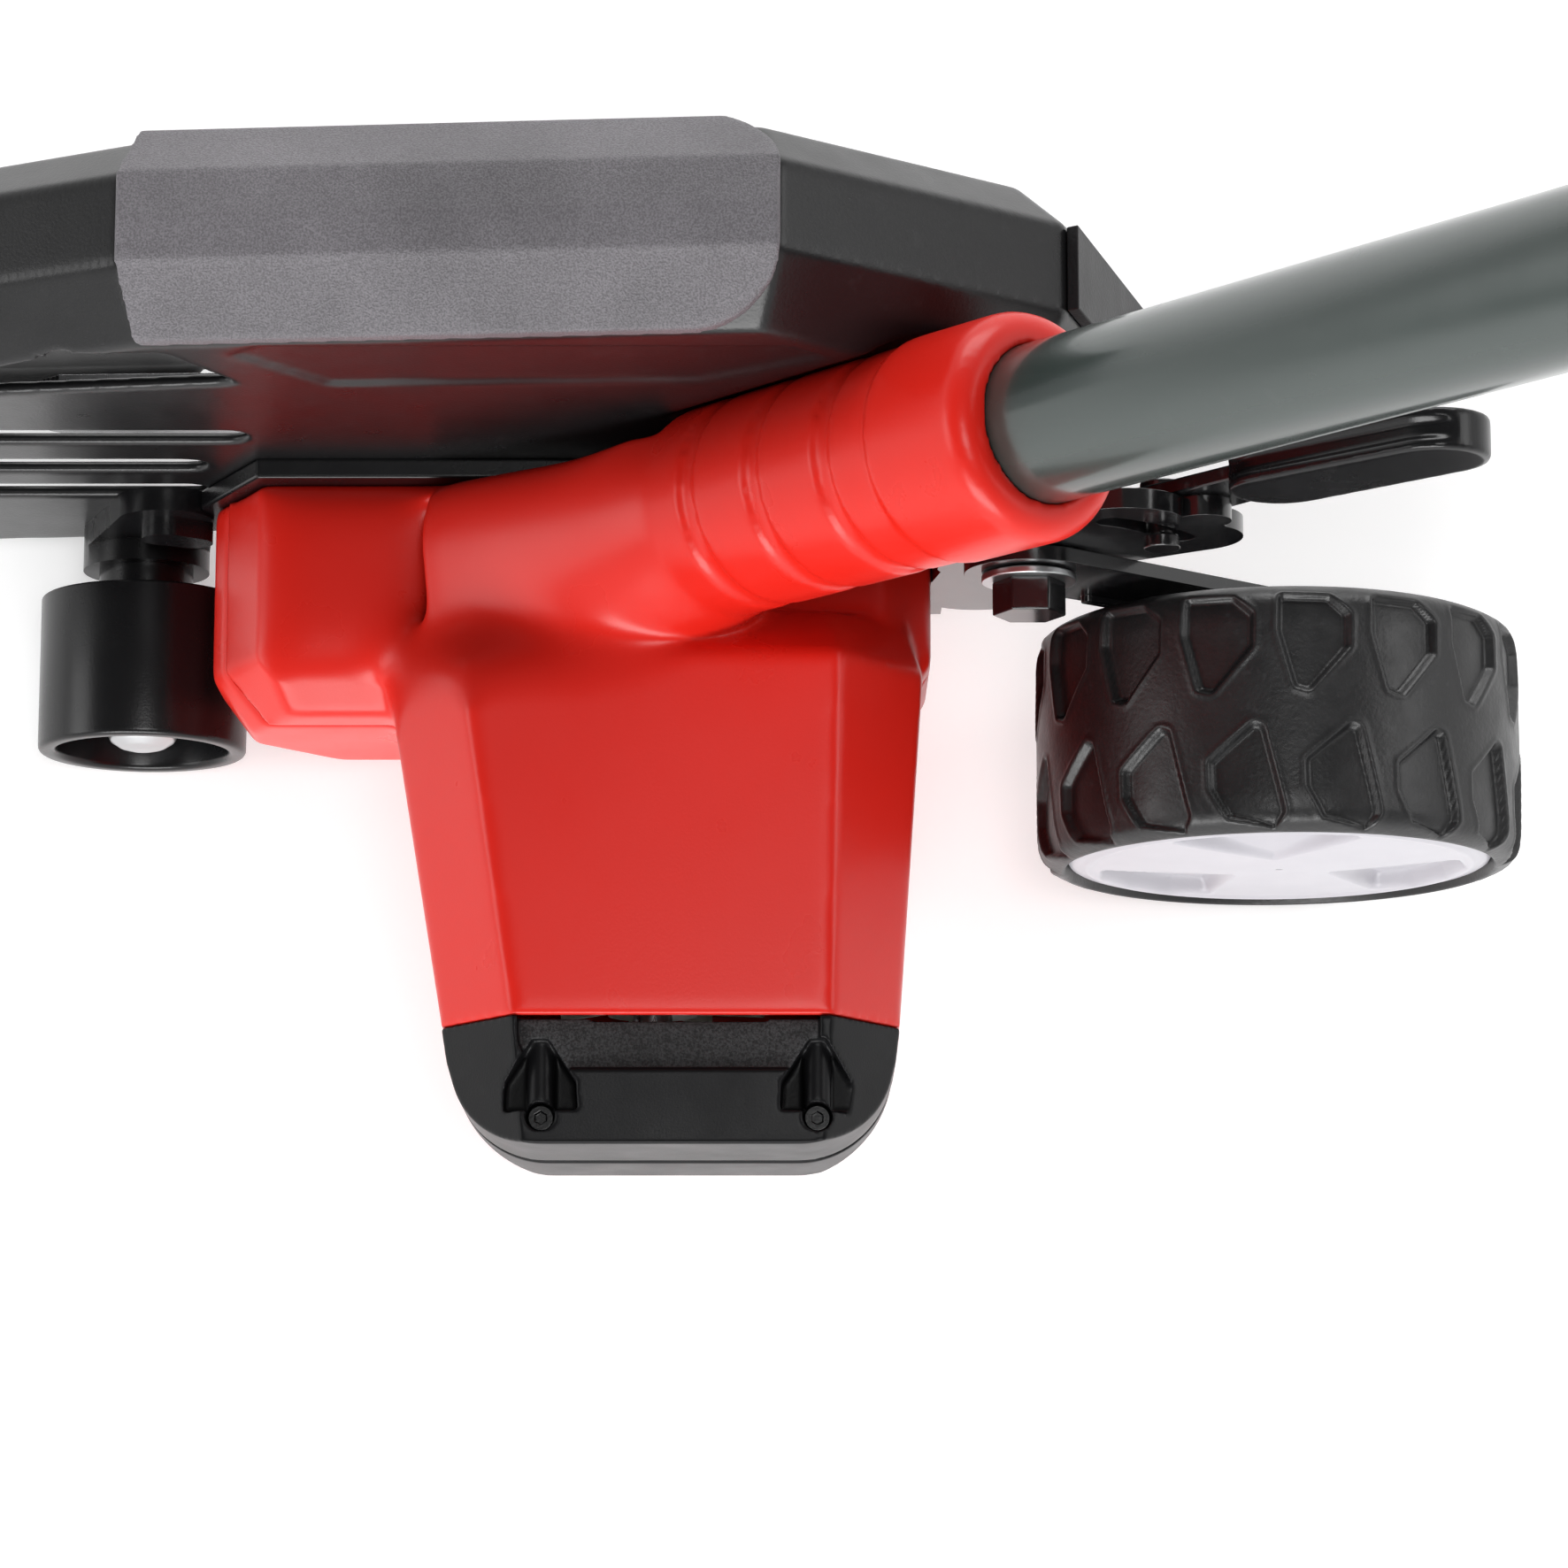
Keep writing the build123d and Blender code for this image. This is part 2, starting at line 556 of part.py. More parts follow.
def make_roller_bolt():
    tail = GUARD_SIDE_X[1] + 3
    profile = [(tail, 0), (tail, 5), (21.5, 5), (21.5, 9.5), (24, 9.5), (24, 7.7), (27.4, 7.7),
               (29.4, 6.8), (30.8, 4.6), (31.4, 2), (31.5, 0)]
    return turned(profile, ROLLER_YZ)


# ------------------------------------------------------------------ telescopic pole
def make_pole_clamp():
    collar = ring_s(20.5, 10, CLAMP_S, CLAMP_S + 62)
    ears = pole * Pos(0, 23, CLAMP_S + 31) * Box(22, 18, 34)
    collar += ears
    collar -= cyl_s(LOWER_TUBE_R, CLAMP_S - 5, LOWER_TUBE_SPAN[1])
    collar -= cyl_s(UPPER_TUBE_R + 0.06, LOWER_TUBE_SPAN[1], CLAMP_S + 70)
    collar -= pole * Pos(0, 26, CLAMP_S + 31) * Box(3, 22, 50)
    collar -= pole * Pos(0, 32.4, CLAMP_S + 31) * Box(14.8, 20, 50)
    collar -= clamp_axis(0) * Rot(0, 90, 0) * Cylinder(2.5, 40)
    return collar.solids().sort_by(SortBy.VOLUME)[-1]


def clamp_axis(x):
    return pole * Pos(x, 29, CLAMP_S + 31)


def make_clamp_pin():
    pin = clamp_axis(0) * Rot(0, 90, 0) * Cylinder(2.5, 23)
    return pin


def make_clamp_lever():
    cam = clamp_axis(0) * Rot(0, 90, 0) * Cylinder(6.2, 13.6)
    arm = pole * Pos(0, 32.2, CLAMP_S + 55) * Box(13.6, 5.6, 48)
    tip = pole * Pos(0, 34.2, CLAMP_S + 82) * Box(16, 9, 14)
    bore = clamp_axis(0) * Rot(0, 90, 0) * Cylinder(2.56, 40)
    return cam + arm + tip - bore


def make_aux_clamp():
    block = ring_s(19.0, UPPER_TUBE_R, AUX_S - 17, AUX_S + 17)
    lug = pole * Pos(0, -24, AUX_S) * Box(27, 18, 24)
    lug += pole * Pos(0, -30, AUX_S) * Rot(0, 90, 0) * Cylinder(12, 27)
    block += lug - cyl_s(UPPER_TUBE_R, AUX_S - 30, AUX_S + 30)
    return block - pole * Pos(0, -30, AUX_S) * Rot(0, 90, 0) * Cylinder(4.0, 60)


def make_aux_bolt():
    place = pole * Pos(0, -30, AUX_S) * Rot(0, 90, 0)
    return place * Cylinder(4.0, 56) + place * Pos(0, 0, -25.8) * Cylinder(7.0, 4.4)


def aux_path():
    half, top = 76, -170
    return [(18, -62), (half - 16, -84), (half, -106), (half, top + 24), (half - 24, top)]


def aux_line():
    right = aux_path()
    left = [(-x, y) for x, y in reversed(right)]
    points = [Vector(x, y, 0) for x, y in right + left]
    return FilletPolyline(*points, radius=14)


def make_aux_loop():
    line = (pole * Pos(0, 0, AUX_S)) * aux_line()
    start = Plane(origin=line @ 0, z_dir=line % 0)
    tube = sweep(start * Circle(9.0), path=line)
    loop = tube
    for x in (-18, 18):
        loop += pole * Pos(x, -30, AUX_S) * Rot(0, 90, 0) * Cylinder(11.5, 7.6)
        loop += pole * Pos(x, -47, AUX_S) * Box(7.6, 34, 18)
    return loop - pole * Pos(0, -30, AUX_S) * Rot(0, 90, 0) * Cylinder(4.06, 60)


def make_aux_grip():
    sleeve = pole * Pos(0, -170, AUX_S) * Rot(0, 90, 0) * Cylinder(13.0, 92)
    for i in range(9):
        ring = pole * Pos(-36 + 9 * i, -170, AUX_S) * Rot(0, 90, 0)
        sleeve -= ring * (Cylinder(15, 1.6) - Cylinder(12.2, 2))
    return sleeve - pole * Pos(0, -170, AUX_S) * Rot(0, 90, 0) * Cylinder(9.0, 100)


def make_aux_knob():
    place = pole * Pos(30.4, -30, AUX_S) * Rot(0, 90, 0)
    knob = place * Cylinder(15, 14)
    for i in range(6):
        knob -= place * Rot(0, 0, 60 * i) * Pos(17.5, 0, 0) * Cylinder(5.2, 20)
    knob += place * Pos(0, 0, 8) * Cylinder(9, 3)
    return knob - place * Pos(0, 0, -5) * Cylinder(4.06, 10.4)


# ------------------------------------------------------------------ rear handle
HANDLE_OUTER = [(-38, -33), (-14, -62), (8, -86), (150, -88), (205, -82), (205, 20),
                (165, 24), (120, 18), (30, 19), (-8, 21), (-42, 3)]
HANG_HOLE = (44, -76)
HANG_HOLE_R = 4.0
HANDLE_GAP = [(24, -17), (10, -38), (18, -62), (30, -66), (140, -67), (152, -56), (150, -24), (138, -17)]


def handle_body(wall):
    outer = grip_prism(inset(HANDLE_OUTER, wall) if wall else HANDLE_OUTER, 17 - wall)
    gap = [(a, n) for a, n in reversed(HANDLE_GAP)]
    hole = grip_prism(inset(gap, -wall) if wall else gap, 60)
    rear = grip_box((158 + wall, 205 - wall), (-82 + wall, 20 - wall), (-36 + wall, 36 - wall))
    slope = grip_prism([(130, -80), (158, -80), (158, 16), (146, 14)], 17 - wall)
    return outer + rear + slope - hole


def make_handle():
    solid = handle_body(0)
    solid = chamfer_long_edges(solid, 4.5)
    solid += cyl_s(19.0, HANDLE_S - 62, HANDLE_S + 6)
    hollow = handle_body(3.0) - grip_box((30, 60), (-90, -60), (-20, 20))
    hollow -= grip_box((190, 210), (-90, 30), (-40, 40))
    shell = solid - hollow
    shell += cyl_s(17.5, HANDLE_S - 60, HANDLE_S + 12) & solid
    shell -= cyl_s(UPPER_TUBE_R, HANDLE_S - 80, UPPER_TUBE_SPAN[1])
    shell -= cyl_s(9, HANDLE_S - 10, HANDLE_S + 30)
    shell -= grip_box((42, 90), (-24, -12), (-5.4, 5.4))
    shell -= grip_box((63.6, 80.4), (12, 30), (-5.4, 5.4))
    shell -= grip_box((196, 210), (-70, 30), (-24, 24)) + grip_box((196, 201), (-70, 30), (-28, 28))
    shell -= grip_box((189, 196.5), (-66, -48), (-20, 20))
    shell -= grip * Pos(*HANG_HOLE, 0) * Cylinder(HANG_HOLE_R, 60)
    right = largest(shell & box((0, 60), (500, 1000), (600, 1200)))
    left = largest(shell & box((-60, 0), (500, 1000), (600, 1200)))
    return left, right


def chamfer_long_edges(solid, size):
    edges = [e for e in solid.edges().filter_by(GeomType.LINE)
             if abs(e.center().X) > 16 and abs(e.tangent_at(0).X) < 0.1]
    picked = [e for e in edges if abs(abs(e.center().X) - 36) < 0.1]
    return chamfer(picked, size)


def make_soft_grip():
    wide = grip_prism([(52, -19), (132, -19), (132, 20.5), (120, 20), (52, 20.8)], 18.6)
    wide -= grip_box((58, 86), (14, 30), (-9, 9))
    wide -= grip_box((38, 94), (-30, -10), (-20, 20))
    wide -= handle_body(0)
    wide -= grip_box((50, 96), (-30, -10), (-20, 20))
    return largest(wide)


def make_trigger():
    blade = grip_prism([(46, -13), (86, -13), (84, -24), (74, -30), (58, -31), (50, -26)], 4.9)
    pivot = grip * Pos(48, -12, 0) * Cylinder(4.5, 9.8)
    bore = grip * Pos(48, -12, 0) * Cylinder(2.06, 20)
    return blade + pivot - bore


def make_trigger_pin():
    return grip * Pos(48, -12, 0) * Cylinder(2.0, 28)


def make_lock_button():
    cap = grip_box((64, 80), (11, 23.5), (-5, 5))
    for a in (67, 70.4, 73.8, 77.2):
        cap -= grip_box((a - 0.6, a + 0.6), (22.7, 25), (-6, 6))
    return cap + grip_box((61, 83), (9, 11.6), (-7, 7))


def make_switch():
    body = grip_box((56, 84), (-5, 3), (-8, 8))
    return body + grip_box((60, 66), (3, 4.5), (-2, 2)) + grip_box((74, 80), (3, 4.5), (-2, 2))


def make_terminals():
    block = grip_box((188, 196), (-66, -48), (-20, 20))
    for x in (-14, -5, 5, 14):
        block += grip_box((196, 199), (-64, -50), (x - 1, x + 1))
    return block


# ------------------------------------------------------------------ battery
def make_battery():
    case = grip_box((206, 268), (-80, -2), (-37, 37))
    edges = case.edges().filter_by(GeomType.LINE)
    case = chamfer(edges, 4.0)
    case -= grip_box((205, 216), (-30, 0), (-16, 16))
    for x in (-37, 37):
        case -= grip_box((228, 262), (-70, -12), (x - 1.2, x + 1.2))
    return case


def make_battery_foot():
    tongue = grip_box((200.6, 206), (-69.5, -4), (-23.5, 23.5))
    flange = grip_box((197, 200.6), (-69.5, -4), (-27.4, 27.4))
    return tongue + flange - grip_box((190, 203), (-72, -46), (-21, 21))


def make_latch():
    button = grip_box((207, 214.4), (-15, 3), (-15, 15))
    for n in (-1.5, 0.5):
        button -= grip_box((213.6, 216), (n - 0.4, n + 0.4), (-16, 16))
    return button


def parts():
    housing_upper, housing_lower = make_housing()
    cap_upper, cap_lower, cap_liner, cap_screws = make_cap()
    handle_left, handle_right = make_handle()
    table = {
        "guard_shell": make_guard(),
        "guard_bumper": make_bumper(),
        "debris_flap": make_flap(),
        "mount_plate": make_mount_plate(),
        "housing_upper": housing_upper,
        "housing_lower": housing_lower,
        "end_cap_upper": cap_upper,
        "end_cap_lower": cap_lower,
        "end_cap_liner": cap_liner,
        "end_cap_screws": cap_screws,
        "gearbox_plate": make_gearbox_plate(),
        "bearings": make_bearings(),
        "motor_can": make_motor_can(),
        "motor_magnets": make_magnets(),
        "roller_bracket": make_roller_bracket(),
        "roller_bolt": make_roller_bolt(),
        "sector_plate": make_sector_plate(),
        "pivot_bolt": make_pivot_bolt(),
        "pivot_washer": ring_x(PIVOT_YZ, 9.5, 4.0, ARM_X[1] + 0.3, ARM_X[1] + 1.8),
        "lower_tube": ring_s(LOWER_TUBE_R, LOWER_TUBE_R - 1.7, *LOWER_TUBE_SPAN),
        "pole_clamp": make_pole_clamp(),
        "clamp_pin": make_clamp_pin(),
        "clamp_lever": make_clamp_lever(),
        "spindle": make_spindle(),
        "driven_gear": make_driven_gear(),
        "inner_flange": ring_x(BLADE_YZ, 17.0, 4.95, -37, -34),
        "blade": make_blade(),
        "outer_flange": ring_x(BLADE_YZ, 15.0, 4.95, -42.5, -39.5),
        "blade_nut": hexagon_x(BLADE_YZ, 9.6, -49, -42.5) - cyl_x(BLADE_YZ, 4.95, -55, -30),
        "motor_shaft": cyl_x(MOTOR_YZ, 4.0, -1, 97),
        "rotor_core": make_rotor(),
        "pinion": make_pinion(),
        "cooling_fan": make_fan(),
        "arm_plate": make_arm_plate(),
        "depth_lever": make_depth_lever(),
        "lever_paddle": make_paddle(),
        "detent_pin": make_detent_pin(),
        "wheel_axle": make_wheel_axle(),
        "tyre": make_tyre(),
        "wheel_rim": make_wheel_rim(),
        "hub_cap": make_hub_cap(),
        "front_roller": make_roller(),
        "upper_tube": ring_s(UPPER_TUBE_R, UPPER_TUBE_R - 1.5, *UPPER_TUBE_SPAN),
        "aux_clamp": make_aux_clamp(),
        "aux_bolt": make_aux_bolt(),
        "aux_loop": make_aux_loop(),
        "aux_grip": make_aux_grip(),
        "aux_knob": make_aux_knob(),
        "handle_left": handle_left,
        "handle_right": handle_right,
        "soft_grip": make_soft_grip(),
        "trigger_pin": make_trigger_pin(),
        "power_switch": make_switch(),
        "terminal_block": make_terminals(),
        "trigger": make_trigger(),
        "lock_off_button": make_lock_button(),
        "battery_case": make_battery(),
        "battery_foot": make_battery_foot(),
        "battery_latch": make_latch(),
    }
    return table


os.makedirs("parts", exist_ok=True)
for name, shape in parts().items():
    export_step(Pos(-ORIGIN[0], -ORIGIN[1], -ORIGIN[2]) * shape, f"parts/{name}.step")
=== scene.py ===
import bmesh
import bpy
import json
from math import cos, pi, radians, sin
from mathutils import Matrix, Vector
import numpy as np

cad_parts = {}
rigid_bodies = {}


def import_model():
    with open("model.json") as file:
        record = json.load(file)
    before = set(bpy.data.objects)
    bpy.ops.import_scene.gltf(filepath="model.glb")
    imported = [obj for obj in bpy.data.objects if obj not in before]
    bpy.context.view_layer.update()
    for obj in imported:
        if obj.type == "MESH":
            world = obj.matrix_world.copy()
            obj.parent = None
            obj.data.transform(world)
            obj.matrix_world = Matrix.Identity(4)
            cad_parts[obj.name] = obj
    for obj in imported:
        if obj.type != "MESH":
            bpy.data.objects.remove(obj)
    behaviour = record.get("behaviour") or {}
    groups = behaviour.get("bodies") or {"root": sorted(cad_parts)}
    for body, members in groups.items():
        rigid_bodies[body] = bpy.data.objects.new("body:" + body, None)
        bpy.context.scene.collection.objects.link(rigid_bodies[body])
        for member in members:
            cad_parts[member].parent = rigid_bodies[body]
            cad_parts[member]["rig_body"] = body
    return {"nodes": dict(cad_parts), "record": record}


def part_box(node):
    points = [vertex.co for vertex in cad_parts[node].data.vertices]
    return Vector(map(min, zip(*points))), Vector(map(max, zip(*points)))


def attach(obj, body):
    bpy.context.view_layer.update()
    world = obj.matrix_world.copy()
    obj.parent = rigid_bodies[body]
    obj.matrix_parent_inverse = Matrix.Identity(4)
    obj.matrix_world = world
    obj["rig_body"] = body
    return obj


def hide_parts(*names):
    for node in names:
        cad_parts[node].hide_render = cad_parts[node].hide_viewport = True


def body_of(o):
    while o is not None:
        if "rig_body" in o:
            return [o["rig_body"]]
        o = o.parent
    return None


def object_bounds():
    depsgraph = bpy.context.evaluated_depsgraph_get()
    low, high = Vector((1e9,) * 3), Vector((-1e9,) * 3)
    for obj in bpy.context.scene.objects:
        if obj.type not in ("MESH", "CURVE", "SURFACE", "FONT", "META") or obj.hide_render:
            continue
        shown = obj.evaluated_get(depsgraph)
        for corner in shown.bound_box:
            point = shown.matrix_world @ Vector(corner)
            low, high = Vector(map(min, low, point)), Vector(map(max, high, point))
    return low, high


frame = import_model()
cad_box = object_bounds()

WHEEL_X, WHEEL_Y, WHEEL_Z = 37, 102, 50
WHEEL_RADIUS = 50
WHEEL_LOW, WHEEL_HIGH = (Vector(p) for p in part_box("tyre"))
HOME = (WHEEL_LOW + WHEEL_HIGH) / 2 - Vector((WHEEL_X, WHEEL_Y, WHEEL_Z)) / 1000

FOOT_Y, FOOT_Z = 48, 175.4
POLE_TILT = radians(48.6)
POLE_FOOT = Vector((0, FOOT_Y, FOOT_Z))
POLE_DIR = Vector((0, cos(POLE_TILT), sin(POLE_TILT)))
POLE_UP = Vector((0, -sin(POLE_TILT), cos(POLE_TILT)))

# The camera's focal length, in millimetres, goes with a sensor 36 mm wide.
SENSOR = 36.0
LENS = 114.7856
CAMERA_AT = (235.7, 0, 1065.5)
CAMERA_TILT = radians(10.7)
LIGHTS_AIM = (10, -20, 80)


def at(x, y, z):
    """Millimetres from HOME as a place in the frame, in metres."""
    return HOME + Vector((x, y, z)) / 1000


def local(points):
    """Places in the frame, in metres, as millimetres from HOME."""
    return (points - np.array(HOME)) * 1000


def along_pole(s, u, v):
    """Place in the frame from millimetres along the pole, across it and above it."""
    return at(*(POLE_FOOT + POLE_DIR * s + POLE_UP * v + Vector((u, 0, 0))))


def pole_distances(points):
    """Millimetres along the pole and above it, for points measured from HOME."""
    x, y, z = points.T
    s = (y - FOOT_Y) * cos(POLE_TILT) + (z - FOOT_Z) * sin(POLE_TILT)
    v = -(y - FOOT_Y) * sin(POLE_TILT) + (z - FOOT_Z) * cos(POLE_TILT)
    return s, v


def fade(low, high, value):
    """Smooth step from 0 at low to 1 at high."""
    t = np.clip((value - low) / (high - low), 0, 1)
    return t * t * (3 - 2 * t)


# ------------------------------------------------------------------ materials
def ramp_node(nodes, stops):
    ramp = nodes.new("ShaderNodeValToRGB")
    elements = ramp.color_ramp.elements
    while len(elements) < len(stops):
        elements.new(0.5)
    for element, (place, colour) in zip(elements, stops):
        element.position = place
        element.color = (*colour, 1.0)
    return ramp


def noise_node(nodes, links, scale, detail, source):
    tex = nodes.new("ShaderNodeTexNoise")
    tex.inputs["Scale"].default_value = scale
    tex.inputs["Detail"].default_value = detail
    links.new(source, tex.inputs["Vector"])
    return tex


def shade(colour, factor):
    return tuple(min(1.0, c * factor) for c in colour)


def speckled(nodes, links, base, noise, amount):
    """Base colour multiplied by fine light and dark grains."""
    grit = ramp_node(nodes, [(0.38, (1 - amount,) * 3), (0.62, (1 + amount,) * 3)])
    links.new(noise.outputs["Fac"], grit.inputs["Fac"])
    dust = nodes.new("ShaderNodeMix")
    dust.data_type = "RGBA"
    dust.blend_type = "MULTIPLY"
    dust.inputs["Factor"].default_value = 1.0
    links.new(base, dust.inputs["A"])
    links.new(grit.outputs["Color"], dust.inputs["B"])
    return dust.outputs["Result"]


def scuffed(nodes, links, base, noise, amount, colour):
    """Base colour with light marks where the noise peaks."""
    mask = ramp_node(nodes, [(0.62, (0, 0, 0)), (0.70, (1, 1, 1))])
    links.new(noise.outputs["Fac"], mask.inputs["Fac"])
    strength = nodes.new("ShaderNodeMath")
    strength.operation = "MULTIPLY"
    strength.inputs[1].default_value = amount
    links.new(mask.outputs["Color"], strength.inputs[0])
    mix = nodes.new("ShaderNodeMix")
    mix.data_type = "RGBA"
    links.new(strength.outputs["Value"], mix.inputs["Factor"])
    links.new(base, mix.inputs["A"])
    mix.inputs["B"].default_value = (*colour, 1.0)
    return mix.outputs["Result"]


def material(name, colour, rough, metal=0.0, vary=0.12, patch=9.0, grain=2500.0, bump=0.05,
             rough_vary=0.08, coat=0.0, specular=0.5, scuffs=0.0, scuff_colour=None,
             stretch=None, speckle=0.0):
    """Moulded, painted or metal surface with patchy colour, grain, uneven gloss and scuffs."""
    mat = bpy.data.materials.new(name)
    mat.use_nodes = True
    nodes, links = mat.node_tree.nodes, mat.node_tree.links
    shader = nodes["Principled BSDF"]
    shader.inputs["Metallic"].default_value = metal
    shader.inputs["Coat Weight"].default_value = coat
    shader.inputs["Coat Roughness"].default_value = 0.12
    shader.inputs["Specular IOR Level"].default_value = specular
    coords = nodes.new("ShaderNodeTexCoord")
    mapping = nodes.new("ShaderNodeMapping")
    links.new(coords.outputs["Object"], mapping.inputs["Vector"])
    if stretch:
        mapping.inputs["Scale"].default_value = stretch
    whole, stretched = coords.outputs["Object"], mapping.outputs["Vector"]

    patches = noise_node(nodes, links, patch, 4.0, whole)
    tint = ramp_node(nodes, [(0.3, shade(colour, 1 - vary)), (0.72, shade(colour, 1 + vary))])
    links.new(patches.outputs["Fac"], tint.inputs["Fac"])
    fine = noise_node(nodes, links, grain, 3.0, stretched)
    gloss = nodes.new("ShaderNodeMapRange")
    gloss.inputs["To Min"].default_value = max(0.03, rough - rough_vary)
    gloss.inputs["To Max"].default_value = min(1.0, rough + rough_vary)
    links.new(noise_node(nodes, links, patch * 9, 5.0, stretched).outputs["Fac"],
              gloss.inputs["Value"])
    links.new(gloss.outputs["Result"], shader.inputs["Roughness"])

    base = tint.outputs["Color"]
    if speckle:
        grains = noise_node(nodes, links, grain, 2.0, stretched)
        base = speckled(nodes, links, base, grains, speckle)
    if scuffs:
        scratch = noise_node(nodes, links, patch * 26, 7.0, stretched)
        base = scuffed(nodes, links, base, scratch, scuffs, scuff_colour or shade(colour, 2.2))
    links.new(base, shader.inputs["Base Color"])

    relief = nodes.new("ShaderNodeBump")
    relief.inputs["Strength"].default_value = bump
    relief.inputs["Distance"].default_value = 0.0004
    links.new(fine.outputs["Fac"], relief.inputs["Height"])
    links.new(relief.outputs["Normal"], shader.inputs["Normal"])
    return mat


MATERIALS = {
    "red_plastic": material(
        "red_moulded", (0.56, 0.013, 0.007), 0.30, vary=0.05, patch=6, grain=1800, bump=0.04,
        specular=0.3),
    "black_plastic": material(
        "black_moulded", (0.0045, 0.0045, 0.005), 0.26, grain=2200, bump=0.06, specular=0.34,
        scuffs=0.05, scuff_colour=(0.03, 0.03, 0.03)),
    "guard_plastic": material(
        "guard_moulded", (0.006, 0.006, 0.0065), 0.30, grain=1600, bump=0.10, specular=0.36,
        scuffs=0.10, scuff_colour=(0.035, 0.035, 0.036)),
    "grey_plastic": material(
        "grey_grained", (0.115, 0.108, 0.118), 0.46, vary=0.18, patch=30, grain=2600, bump=0.6,
        speckle=0.24, specular=0.4, scuffs=0.12, scuff_colour=(0.045, 0.042, 0.045)),
    "light_grey_plastic": material(
        "hub_grey", (0.40, 0.39, 0.42), 0.32, vary=0.03, bump=0.03, specular=0.35),
    "black_steel": material(
        "black_steel", (0.005, 0.005, 0.0055), 0.2, coat=0.4, grain=1500, bump=0.05,
        specular=0.5, scuffs=0.2, scuff_colour=(0.07, 0.07, 0.07)),
    "steel": material(
        "ground_steel", (0.50, 0.50, 0.51), 0.28, metal=1.0, vary=0.08, grain=900,
        stretch=(1, 1, 14), bump=0.08, scuffs=0.3, scuff_colour=(0.25, 0.24, 0.23)),
    "zinc_steel": material(
        "zinc_plate", (0.55, 0.56, 0.57), 0.3, metal=1.0, vary=0.06, bump=0.05),
    "pole_paint": material(
        "pole_paint", (0.034, 0.046, 0.042), 0.24, metal=0.2, coat=0.5, grain=1500, bump=0.03,
        scuffs=0.05, scuff_colour=(0.07, 0.08, 0.075)),
    "aluminium": material(
        "aluminium", (0.55, 0.55, 0.57), 0.3, metal=1.0, vary=0.06, bump=0.06),
    "magnet": material("magnet", (0.05, 0.05, 0.055), 0.6, bump=0.2),
    "copper": material("copper_winding", (0.52, 0.22, 0.09), 0.35, metal=0.8, bump=0.2),
    "rubber": material(
        "soft_rubber", (0.011, 0.011, 0.012), 0.5, grain=1300, bump=0.3, specular=0.35,
        scuffs=0.15, scuff_colour=(0.035, 0.035, 0.035)),
    "tyre": material(
        "tyre_rubber", (0.0085, 0.0085, 0.009), 0.38, patch=22, vary=0.3, grain=1000, bump=0.18,
        specular=0.42, rough_vary=0.14, scuffs=0.3, scuff_colour=(0.028, 0.028, 0.03)),
    "nylon": material("nylon", (0.6, 0.58, 0.5), 0.45, bump=0.06),
    "cap_plastic": material(
        "cap_moulded", (0.005, 0.005, 0.0055), 0.34, grain=2200, bump=0.06, specular=0.12,
        scuffs=0.05, scuff_colour=(0.03, 0.03, 0.03)),
    "matte_panel": material(
        "matte_panel", (0.02, 0.02, 0.021), 0.7, patch=60, vary=0.3, grain=2200, bump=0.5,
        speckle=0.6, specular=0.3, scuffs=0.3, scuff_colour=(0.06, 0.06, 0.06)),
}

NODE_SLOT = {row["node"]: row["material_slot"] for row in frame["record"]["subparts"]}
NODE_BODY = {name: body_of(node)[0] for name, node in frame["nodes"].items()}

# Pieces whose slot isn't the record's, and pieces with a duller material than their slot's.
FINISH = {"end_cap_screws": "black_steel", "lever_paddle": "black_plastic"}
LOOK = {"end_cap_upper": "cap_plastic", "end_cap_lower": "cap_plastic"}


def paint(obj, slot_name):
    obj.data.materials.clear()
    obj.data.materials.append(MATERIALS[slot_name])


for node_name, node in frame["nodes"].items():
    paint(node, NODE_SLOT[node_name])


# ------------------------------------------------------------------ meshes
def smooth_shade(mesh):
    if "sharp_edge" in mesh.attributes:
        mesh.attributes.remove(mesh.attributes["sharp_edge"])
    mesh.polygons.foreach_set("use_smooth", [True] * len(mesh.polygons))


def vertices(mesh, field="co"):
    """Places or normals of a mesh's vertices, one row each."""
    rows = np.empty(len(mesh.vertices) * 3)
    mesh.vertices.foreach_get(field, rows)
    return rows.reshape(-1, 3)


def move_vertices(mesh, points):
    mesh.vertices.foreach_set("co", points.ravel())
    mesh.update()


def add_object(name, mesh):
    obj = bpy.data.objects.new(name, mesh)
    bpy.context.collection.objects.link(obj)
    return obj


def settle(obj, node):
    """Puts a finished piece in the place of a CAD node."""
    finish = FINISH.get(node, NODE_SLOT[node])
    paint(obj, LOOK.get(node, finish))
    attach(obj, NODE_BODY[node])
    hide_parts(node)
    return obj


def baked(obj):
    """Applies an object's modifiers and returns its new mesh."""
    graph = bpy.context.evaluated_depsgraph_get()
    mesh = bpy.data.meshes.new_from_object(obj.evaluated_get(graph))
    obj.modifiers.clear()
    obj.data = mesh
    return mesh


def finished_mesh(name, bm):
    """Mesh from bm, which it frees, with its faces turned outwards and shaded smooth."""
    bmesh.ops.recalc_face_normals(bm, faces=bm.faces)
    mesh = bpy.data.meshes.new(name)
    bm.to_mesh(mesh)
    bm.free()
    smooth_shade(mesh)
    return mesh


